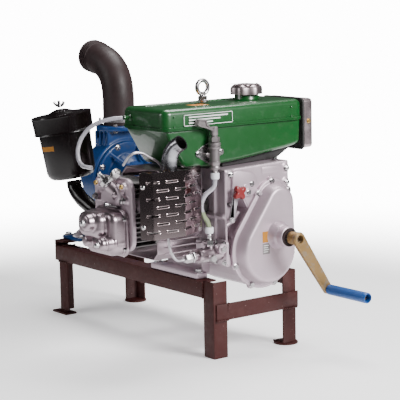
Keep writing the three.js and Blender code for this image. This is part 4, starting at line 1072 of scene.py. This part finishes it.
def buildLines():
    x, z, y, out = (injectionPump[part] for part in ("x", "z", "inletY", "outletY"))
    route = [(x, out - 0.5, z - 4), (x, out - 12, z - 4), (x + 1, -94, z - 1), (-17, -104, z + 14),
             (-20, -109, z + 36), (-20.8, -112, 330), (-20.8, -114, 440), (-24, -124, 468), (-32, -150, 488),
             (-36, -172, 499), (-40, -192, 496), (-50, -202, 480), (-55, -205, 471.5)]
    settle(tube("high_pressure_pipe", route, 3.1, "pipeSteel", 12, 6), "engine", "machined_steel",
           "high_pressure_line")
    cockX, cockY, cockLow = cock["x"], cock["y"], cock["z"] - 15
    route = [(cockX, cockY, cockLow), (cockX - 1, cockY - 3, 408), (-15, -7, 388), (-19, -16, 366),
             (-18, -12, 344), (x - 1, y - 3, 324), (x, y, 312)]
    hose = tube("hose", route, 5.6, "fuel", 14, 8, 1.3)
    ferrules = [standing("ferrule", ring([[a, 7], [a, 9], [a + 3, 10.2], [a + 13, 10.2], [a + 14.6, 9],
                                          [a + 14.6, 6.6]]), b, c, "white", 32)
                for a, b, c in ((298.4, x, y), (cockLow, cockX, cockY))]
    settle(join("fuel_hose_tube", [hose, *ferrules]), "engine", "clear_hose", "fuel_hose")
    back = [(-128, -241, 463), (-136, -245, 464), (-163, -244, 466), (-192, -236, 480), (-207, -226, 502),
            (-205, -212, 530), (-190, -192, 553), (-170, -160, 565), (-158, -134, 567)]
    settle(tube("return_hose_tube", back, 4.9, "clear", 14, 8, 1.1), "engine", "clear_hose", "return_hose")


cock = {"x": -4, "y": 14, "z": 440, "plate": -27, "lug": 33}


def buildCock():
    x, y, z0, plate, lug = (cock[part] for part in ("x", "y", "z", "plate", "lug"))
    rows = [[z0, 0], [z0, 7.6], [z0 + 3, 6.6], [z0 + 6, 7.6], [z0 + 8, 7.6], [z0 + 8, 11.6], [z0 + 10, 12.6],
            [z0 + 13, 12.6], [z0 + 15, 11.4], [z0 + 18, 11.4], [z0 + 20, 12.8], [z0 + 26, 12.8],
            [z0 + 27, 11.6], [z0 + 54, 11.6], [z0 + 55, 14.4], [z0 + 58, 15], [z0 + 60, 15], [z0 + 61, 13.6],
            [z0 + 63, 13.6], [z0 + 64, 15], [z0 + 68, 15], [z0 + 70, 13.4], [z0 + 70, 8], [z0 + 86, 8],
            [z0 + 86, 0]]
    body = standing("body", rows, x, y, "zamak", 48)
    top = standing("top", [[z0 + 71, 0], [z0 + 71, 12], [z0 + 72, 13.2], [z0 + 81, 13.2], [z0 + 82, 12],
                           [z0 + 82, 0]], x, y, "zamak", 6)
    middle = z0 + 44
    right = [(a, b) for a, b in linkOutline(y, middle, 24, y + lug, middle, 6.5, 16) if a >= y]
    right.sort(key=lambda point: math.atan2(point[1] - middle, point[0] - y))
    left = [(2 * y - a, 2 * middle - b) for a, b in right]
    lugs = [stacked("lug", [*right, *left], "x", plate, [(0, 4.6), (0.7, 0.8)], "steel")]
    neck = lying("neck", [[plate + 4, 0], [plate + 4, 13], [plate + 8, 11], [x, 10], [x, 0]], y, middle,
                 "zamak", 32)
    fins = [block("fin", (plate + 2, x - 2), (y + side * 12, y + side * 22), (middle - 2, middle + 2),
                  "zamak", 1.2) for side in (1, -1)]
    screws = [hexBolt(at(plate + 5.4, y + side * lug, middle), (1, 0, 0), 5.6, 5, 7.5) for side in (1, -1)]
    settle(join("fuel_cock_body", [body, top, *lugs, neck, *fins, *screws]), "engine", "cast_aluminium",
           "fuel_cock", angle=36)
    stem = z0 + 86
    hub = standing("hub", [[stem + 0.5, 0], [stem + 0.5, 8.4], [stem + 2, 9], [stem + 18, 9],
                           [stem + 20, 7.6], [stem + 20, 0]], x, y, "zamak", 40)
    shape = [(y, stem + 8), (y, stem + 18), (y - 14, stem + 21), (y - 22, stem + 27), (y - 25, stem + 38),
             (y - 46, stem + 40), (y - 50, stem + 29), (y - 45, stem + 24), (y - 26, stem + 19)]
    paddle = stacked("paddle", shape, "x", x - 7, [(0, 12.6), (1, 0.8), (2.2, 0), (1, -2.6)], "zamak")
    settle(join("cock_paddle", [hub, paddle]), "cock_lever", "cast_aluminium", "fuel_cock_lever", angle=30)


control = {"y": 64, "z": 391, "lobeTurn": 0.62, "lobeLow": 0.66, "lobeHigh": 0.52}


def buildControl():
    y, z = control["y"], control["z"]
    points = [(56, 378), (112, 376)]
    points += [(104 + 29 * math.cos(math.radians(a)), 404 + 29 * math.sin(math.radians(a)))
               for a in range(-72, 91, 6)]
    points += [(72, 440), (60, 436), (58, 428)]
    plate = stacked("plate", points, "x", 0.2, [(0, 5.4), (0.8, 0.9), (1.2, 0.4)], "casting")
    plate = carve(plate, stacked("trim", coverOutline(-2.5), "x", -4, [(0, 24)], "casting"))
    dimple = turned("dimple", [[-1, 0], [-1, 8], [0.8, 8], [1.4, 7], [0.9, 5], [-0.4, 0]], at(7, 96, 398),
                    (1, 0, 0), "casting", 32)
    bolts = [hexBolt(at(6.6, a, b), (1, 0, 0), 5.4, 5, 7) for a, b in ((114, 405), (104, 386))]
    settle(join("governor_cover_plate", [plate, dimple, *bolts]), "engine", "cast_aluminium",
           "governor_plate")
    settle(copied("speed_lever", "speed_arm", "pipeSteel", 1.2, 3), "speed_lever", "machined_steel",
           "speed_lever")
    knob = lying("knob", [[16.6, 0], [16.6, 12], [18, 15], [20, 16], [26, 16], [28.4, 15], [30, 12.4],
                          [30.8, 8], [30.8, 0]], y, z, "red", 72)
    center = at(0, y, z)
    for vertex in knob.data.vertices:
        out = vertex.co - center
        lobe = abs(math.cos(2 * (math.atan2(out.z, out.y) - control["lobeTurn"]))) ** 1.6
        out.yz = out.yz * (control["lobeLow"] + control["lobeHigh"] * lobe)
        vertex.co = center + out
    neck = lying("neck", [[12.6, 0], [12.6, 6.6], [18, 6.6], [18, 0]], y, z, "red", 32)
    tip = lying("tip", [[22, 0], [22, 4.6], [27.2, 4.6], [28, 3.6], [28, 0]], y, z, "red", 24)
    settle(join("speed_knob_star", [knob, neck, tip]), "speed_knob", "knob_red", "speed_knob", angle=30)


def buildCase():
    body = copied("crankcase", "crankcase_casting", "casting")
    ribs = [block("rib", (-150, -4), (40 - 6, 41), (z, z + 7), "casting", 2) for z in (330, 262)]
    ribs += [block("rib", (x, x + 7), (33, 41), (216, 440), "casting", 2) for x in (-40, -96, -158)]
    pads = [turned("pad", [[-3, 0], [-3, 10], [3, 9], [4, 8], [4, 0]], at(-0.6, y, z), (1, 0, 0), "casting",
                   32) for y, z in ((222, 432), (222, 398), (54, 432))]
    body = join("case", [body, *ribs, *pads])
    body = melt(body, 2.4, 3, "casting")
    bores = [lying("bore", [[-190, 0], [-190, r], [20, r], [20, 0]], line["y"], line["z"], "casting", 32)
             for line, r in ((crankLine, 17.4), (handleLine, 13.2))]
    pocket = [(45, 244), (45, 366), (92, 374), (106, 346), (92, 312), (76, 286), (66, 262), (60, 240)]
    middle = [sum(values) / len(pocket) for values in zip(*pocket)]
    grown = [tuple(m + (v - m) * 1.07 for m, v in zip(middle, point)) for point in pocket]
    tray = carve(stacked("tray", grown, "x", -44, [(0, 42.6)], "casting"),
                 stacked("inner", pocket, "x", -41, [(0, 60)], "casting"))
    body = carve(body, *bores, stacked("mouth", grown, "x", -46, [(0, 70)], "casting"))
    arms = [tube("arm", [(-34, 50, 300), (-30, 74, 312), (-24, 96, 338)], 6, "casting", 6, 6),
            tube("arm", [(-20, 52, 268), (-20, 62, 262), (-20, 70, 250)], 5, "casting", 6, 6)]
    pocketBolts = [hexBolt(at(-40, y, z), (1, 0, 0), 6, 10, 9) for y, z in ((60, 342), (84, 356), (62, 282))]
    body = join("case", [body, tray, *arms, *pocketBolts])
    plate = block("plate", (-0.6, 0.8), (150, 216), (424, 440), "casting", 0.6)
    bolts = [hexBolt(at(3.4, y, z), (1, 0, 0), 6, 6, 8) for y, z in ((222, 432), (222, 398), (54, 432))]
    bolts += [hexBolt(at(x, y, 196), (0, 0, 1), 8, 7, 12) for x in (-245, -80) for y in (19, 231)]
    bolts.append(hexBolt(at(-24, 210, 450.6), (0, 0, 1), 6, 6, 8))
    settle(join("crankcase_casting", [body, plate, *bolts]), "engine", "cast_aluminium", "crankcase",
           angle=45)
    backCover = stacked("back_cover_casting", roundOutline(-150, -30, 292, 418, 14), "y", 232.5,
                     [(0, 7), (1, 1), (5, 0.4), (2, 3), (1.5, 1.4), (1.5, 0.4)], "casting")
    nuts = [hexBolt(at(x, 240.4, z), (0, 1, 0), 5.6, 5, 7.6) for x in (-142, -38, -90) for z in (300, 410)]
    settle(join("back_cover_casting", [backCover, *nuts]), "engine", "cast_aluminium", "back_cover")
    settle(copied("tank_bracket", "tank_saddle", "satin", 2), "engine", "satin_black", "tank_bracket")


shroudPlace = {"x": -27.4, "y": (-116, -63, -10), "ridges": (262, 277, 292, 307)}


def buildShroud():
    skin = copied("cylinder_shroud", "cylinder_shroud_sheet", "bright", 1.2, 3)
    ridges = [tube("ridge", [(shroudPlace["x"], y, z) for y in shroudPlace["y"]], 1.9, "bright", 2, 4)
              for z in shroudPlace["ridges"]]
    settle(join("cylinder_shroud_sheet", [skin, *ridges]), "engine", "cast_aluminium", "cylinder_shroud",
           angle=40)
    cowl = lying("cowl", [[-262, 62], [-262, 104], [-261, 108], [-257, 111.4], [-252, 112], [-207, 112],
                          [-201, 111.4], [-198, 108], [-197, 104], [-197, 31], [-199.5, 31], [-199.5, 109],
                          [-259.5, 109], [-259.5, 62], [-262, 62]], crankLine["y"], crankLine["z"], "casting",
                 96)
    duct = block("duct", (-262, -197), (-60, 92), (300, 412), "casting", 8, 4)
    bars = [lying("bar", ring([[-262.4, r], [-262.4, r + 2.4], [-260.6, r + 2.4], [-260.6, r]]),
                  crankLine["y"], crankLine["z"], "satin", 64) for r in (26, 38, 50)]
    spokes = []
    for i in range(8):
        angle = i * math.pi / 4
        y, z = math.cos(angle), math.sin(angle)
        spokes.append(tube("spoke", [(-261.4, crankLine["y"] + 26 * y, crankLine["z"] + 26 * z),
                                     (-261.4, crankLine["y"] + 66 * y, crankLine["z"] + 66 * z)], 1.2,
                           "satin", 2, 2))
    settle(join("fan_cowl_drum", [cowl, duct, *bars, *spokes]), "engine", "cast_aluminium", "fan_cowl")


pumpPlace = {"x": -640, "half": 30, "casing": 105, "flange": 495, "flangeBolts": 51, "rimBolts": 91}


def buildPump():
    x, half, r, top = (pumpPlace[part] for part in ("x", "half", "casing", "flange"))
    y, z = crankLine["y"], crankLine["z"]
    near, far = x + half, x - half
    drum = lying("drum", [[far, 84], [far, r - 4], [far + 4, r], [near - 4, r], [near, r - 4], [near, 32],
                          [near - 9, 32], [near - 9, 84], [far, 84]], y, z, "blue", 96)
    throat = stacked("throat", [(y - 78, 398), (y + 78, 398), (y + 58, 440), (y + 46, top - 12),
                                (y - 46, top - 12), (y - 58, 440)], "x", far + 4, [(0, 48), (3, 3), (4, 1)],
                     "blue")
    flange = standing("flange", [[top - 13, 0], [top - 13, 60], [top - 11.6, 62], [top - 1.4, 62],
                                 [top, 60.6], [top, 0]], x, y, "blue", 72)
    foot = block("foot", (-698, -612), (22, 248), (195.4, 206), "blue", 3, 3)
    leg = block("leg", (far + 6, near - 6), (130, 226), (198, 300), "blue", 6, 3)
    ribs = [block("rib", (x - 5, x + 5), (y + a, y + b), (200, 262), "blue", 2)
            for a, b in ((-96, -50), (50, 66))]
    ribs += [block("rib", (far + 8 + 14 * i, far + 14 + 14 * i), (y - 66 + 4 * i, y - 52 + 4 * i),
                   (398, top - 12), "blue", 2.4) for i in range(4)]
    lumps = [turned("lump", [[0, 0], [0, 12], [10, 11], [13, 8], [14, 0]],
                    at(x - 14 + 26 * i, y - 50 + 2 * i, 452 - 30 * i), (0.2, -1, 0.3), "blue", 32)
             for i in range(2)]
    body = join("pump", [drum, throat, flange, foot, leg, *ribs, *lumps])
    passage = standing("passage", [[398, 0], [398, 24], [top + 4, 24], [top + 4, 0]], x, y, "blue", 40)
    body = carve(melt(body, 2.1, 4, "blue"), passage)
    flangeBolts = list(around(x, y, pumpPlace["flangeBolts"], 4, 45))
    bolts = [hexBolt(at(a, b, top - 13), (0, 0, -1), 6.4, 6, 9) for a, b in flangeBolts]
    heads = [hexBolt(at(a, b, top), (0, 0, 1), 6.4, 5, 9) for a, b in flangeBolts]
    feet = [hexBolt(at(a, b, 206), (0, 0, 1), 8, 7, 12) for a in (-686, -624) for b in (36, 236)]
    settle(join("pump_casing_casting", [body, *bolts, *heads, *feet]), "engine", "pump_blue", "pump_casing",
           angle=45)

    bearing = lying("bearing", ring([[near + 0.5, 15], [near + 0.5, 97], [near + 3, 99], [near + 10, 99],
                                     [near + 12, 96], [near + 13, 68], [near + 22, 60], [near + 40, 46],
                                     [near + 60, 42], [near + 148, 40], [near + 150, 50], [near + 152, 52],
                                     [near + 162, 52], [near + 164, 50], [near + 164, 15]]), y, z, "blue", 80)
    webs = []
    for i in range(6):
        angle = math.radians(60 * i + 10)
        out = Vector((0, math.cos(angle), math.sin(angle)))
        start = at(near + 12, y, z)
        webs.append(tube("web", [((start + out * a * mm + Vector((b, 0, 0)) * mm) - corner) / mm
                                 for a, b in ((88, 0), (60, 30), (42, 76))], 5, "blue", 6, 4))
    rimBolts = list(around(y, z, pumpPlace["rimBolts"], 8, 22))
    rims = [hexBolt(at(near + 12, a, b), (1, 0, 0), 6, 6, 8.6) for a, b in rimBolts]
    webbed = melt(join("bearing", [bearing, *webs]), 2.1, 3, "blue")
    webbed = carve(webbed, lying("bore", [[near - 4, 0], [near - 4, 15.5], [near + 170, 15.5],
                                          [near + 170, 0]], y, z, "blue", 32))
    settle(join("pump_bearing_casting", [webbed, *rims]), "engine", "pump_blue", "pump_bearing_housing",
           angle=45)

    suction = lying("suction_cover_casting", ring([[far - 0.5, 36], [far - 0.5, 97], [far - 3, 99],
                                                   [far - 10, 99], [far - 12, 96], [far - 14, 62],
                                                   [far - 20, 52], [far - 32, 44], [far - 60, 43],
                                                   [far - 66, 47], [far - 66, 60], [far - 67.4, 61.6],
                                                   [far - 76.6, 61.6], [far - 78, 60], [far - 78, 40],
                                                   [far - 77, 36]]), y, z, "blue", 96)
    studs = [hexBolt(at(far - 12, a, b), (-1, 0, 0), 6, 6, 8.6) for a, b in rimBolts]
    holes = [lying("hole", [[far - 90, 0], [far - 90, 5.5], [far - 60, 5.5], [far - 60, 0]], a, b, "blue", 20)
             for a, b in around(y, z, 51.5, 4, 45)]
    suction = carve(suction, *holes)
    settle(join("suction_cover_casting", [suction, *studs]), "engine", "pump_blue", "suction_cover", angle=35)


looks = makeMaterials()
setCamera()
setLights()
print("camera and light set")
bpy.ops.mesh.primitive_plane_add(size=studio["floorSize"])
floor = bpy.context.object
floor.name = "floor"
floorRecipe = Recipe("floor", Base_Color=studio["floorColor"], Roughness=0.6, Emission_Color=(1, 1, 1),
                     Emission_Strength=studio["floorGlow"], Specular_IOR_Level=0.2)
reach = floorRecipe.node("VectorMath", {"operation": "LENGTH"}, {0: floorRecipe.place}, output=1)
floorRecipe.set(Alpha=floorRecipe.node("MapRange", {"interpolation_type": "SMOOTHSTEP"},
                                       {"Value": reach, "From Min": studio["fadeTo"],
                                        "From Max": studio["fadeFrom"]}))
floor.data.materials.append(floorRecipe.material)

# Nodes that keep their own mesh take a finish here.
slotLook = {"stand_paint": "stand", "cast_aluminium": "casting", "cast_iron": "iron",
            "machined_steel": "steel", "stainless_sheet": "stainless", "chrome": "chrome",
            "yellow_zinc": "zinc", "grip_blue": "grip", "tank_green": "green", "pump_blue": "blue",
            "gloss_black": "black", "satin_black": "satin", "black_rubber": "rubber", "knob_red": "red",
            "clear_hose": "clear"}
for part in frame["record"]["subparts"]:
    coat(frame["nodes"][part["node"]], slotLook[part["material_slot"]])

for build in (buildStand, buildTank, buildCap, buildEye, buildLamp, buildGearCover, buildHandle, buildElbow,
              buildCleaner, buildGuard, buildExhaust, buildHead, buildRocker, buildInjector,
              buildInjectionPump, buildLines, buildCock, buildControl, buildCase, buildShroud, buildPump):
    build()
    print("made", build.__name__)
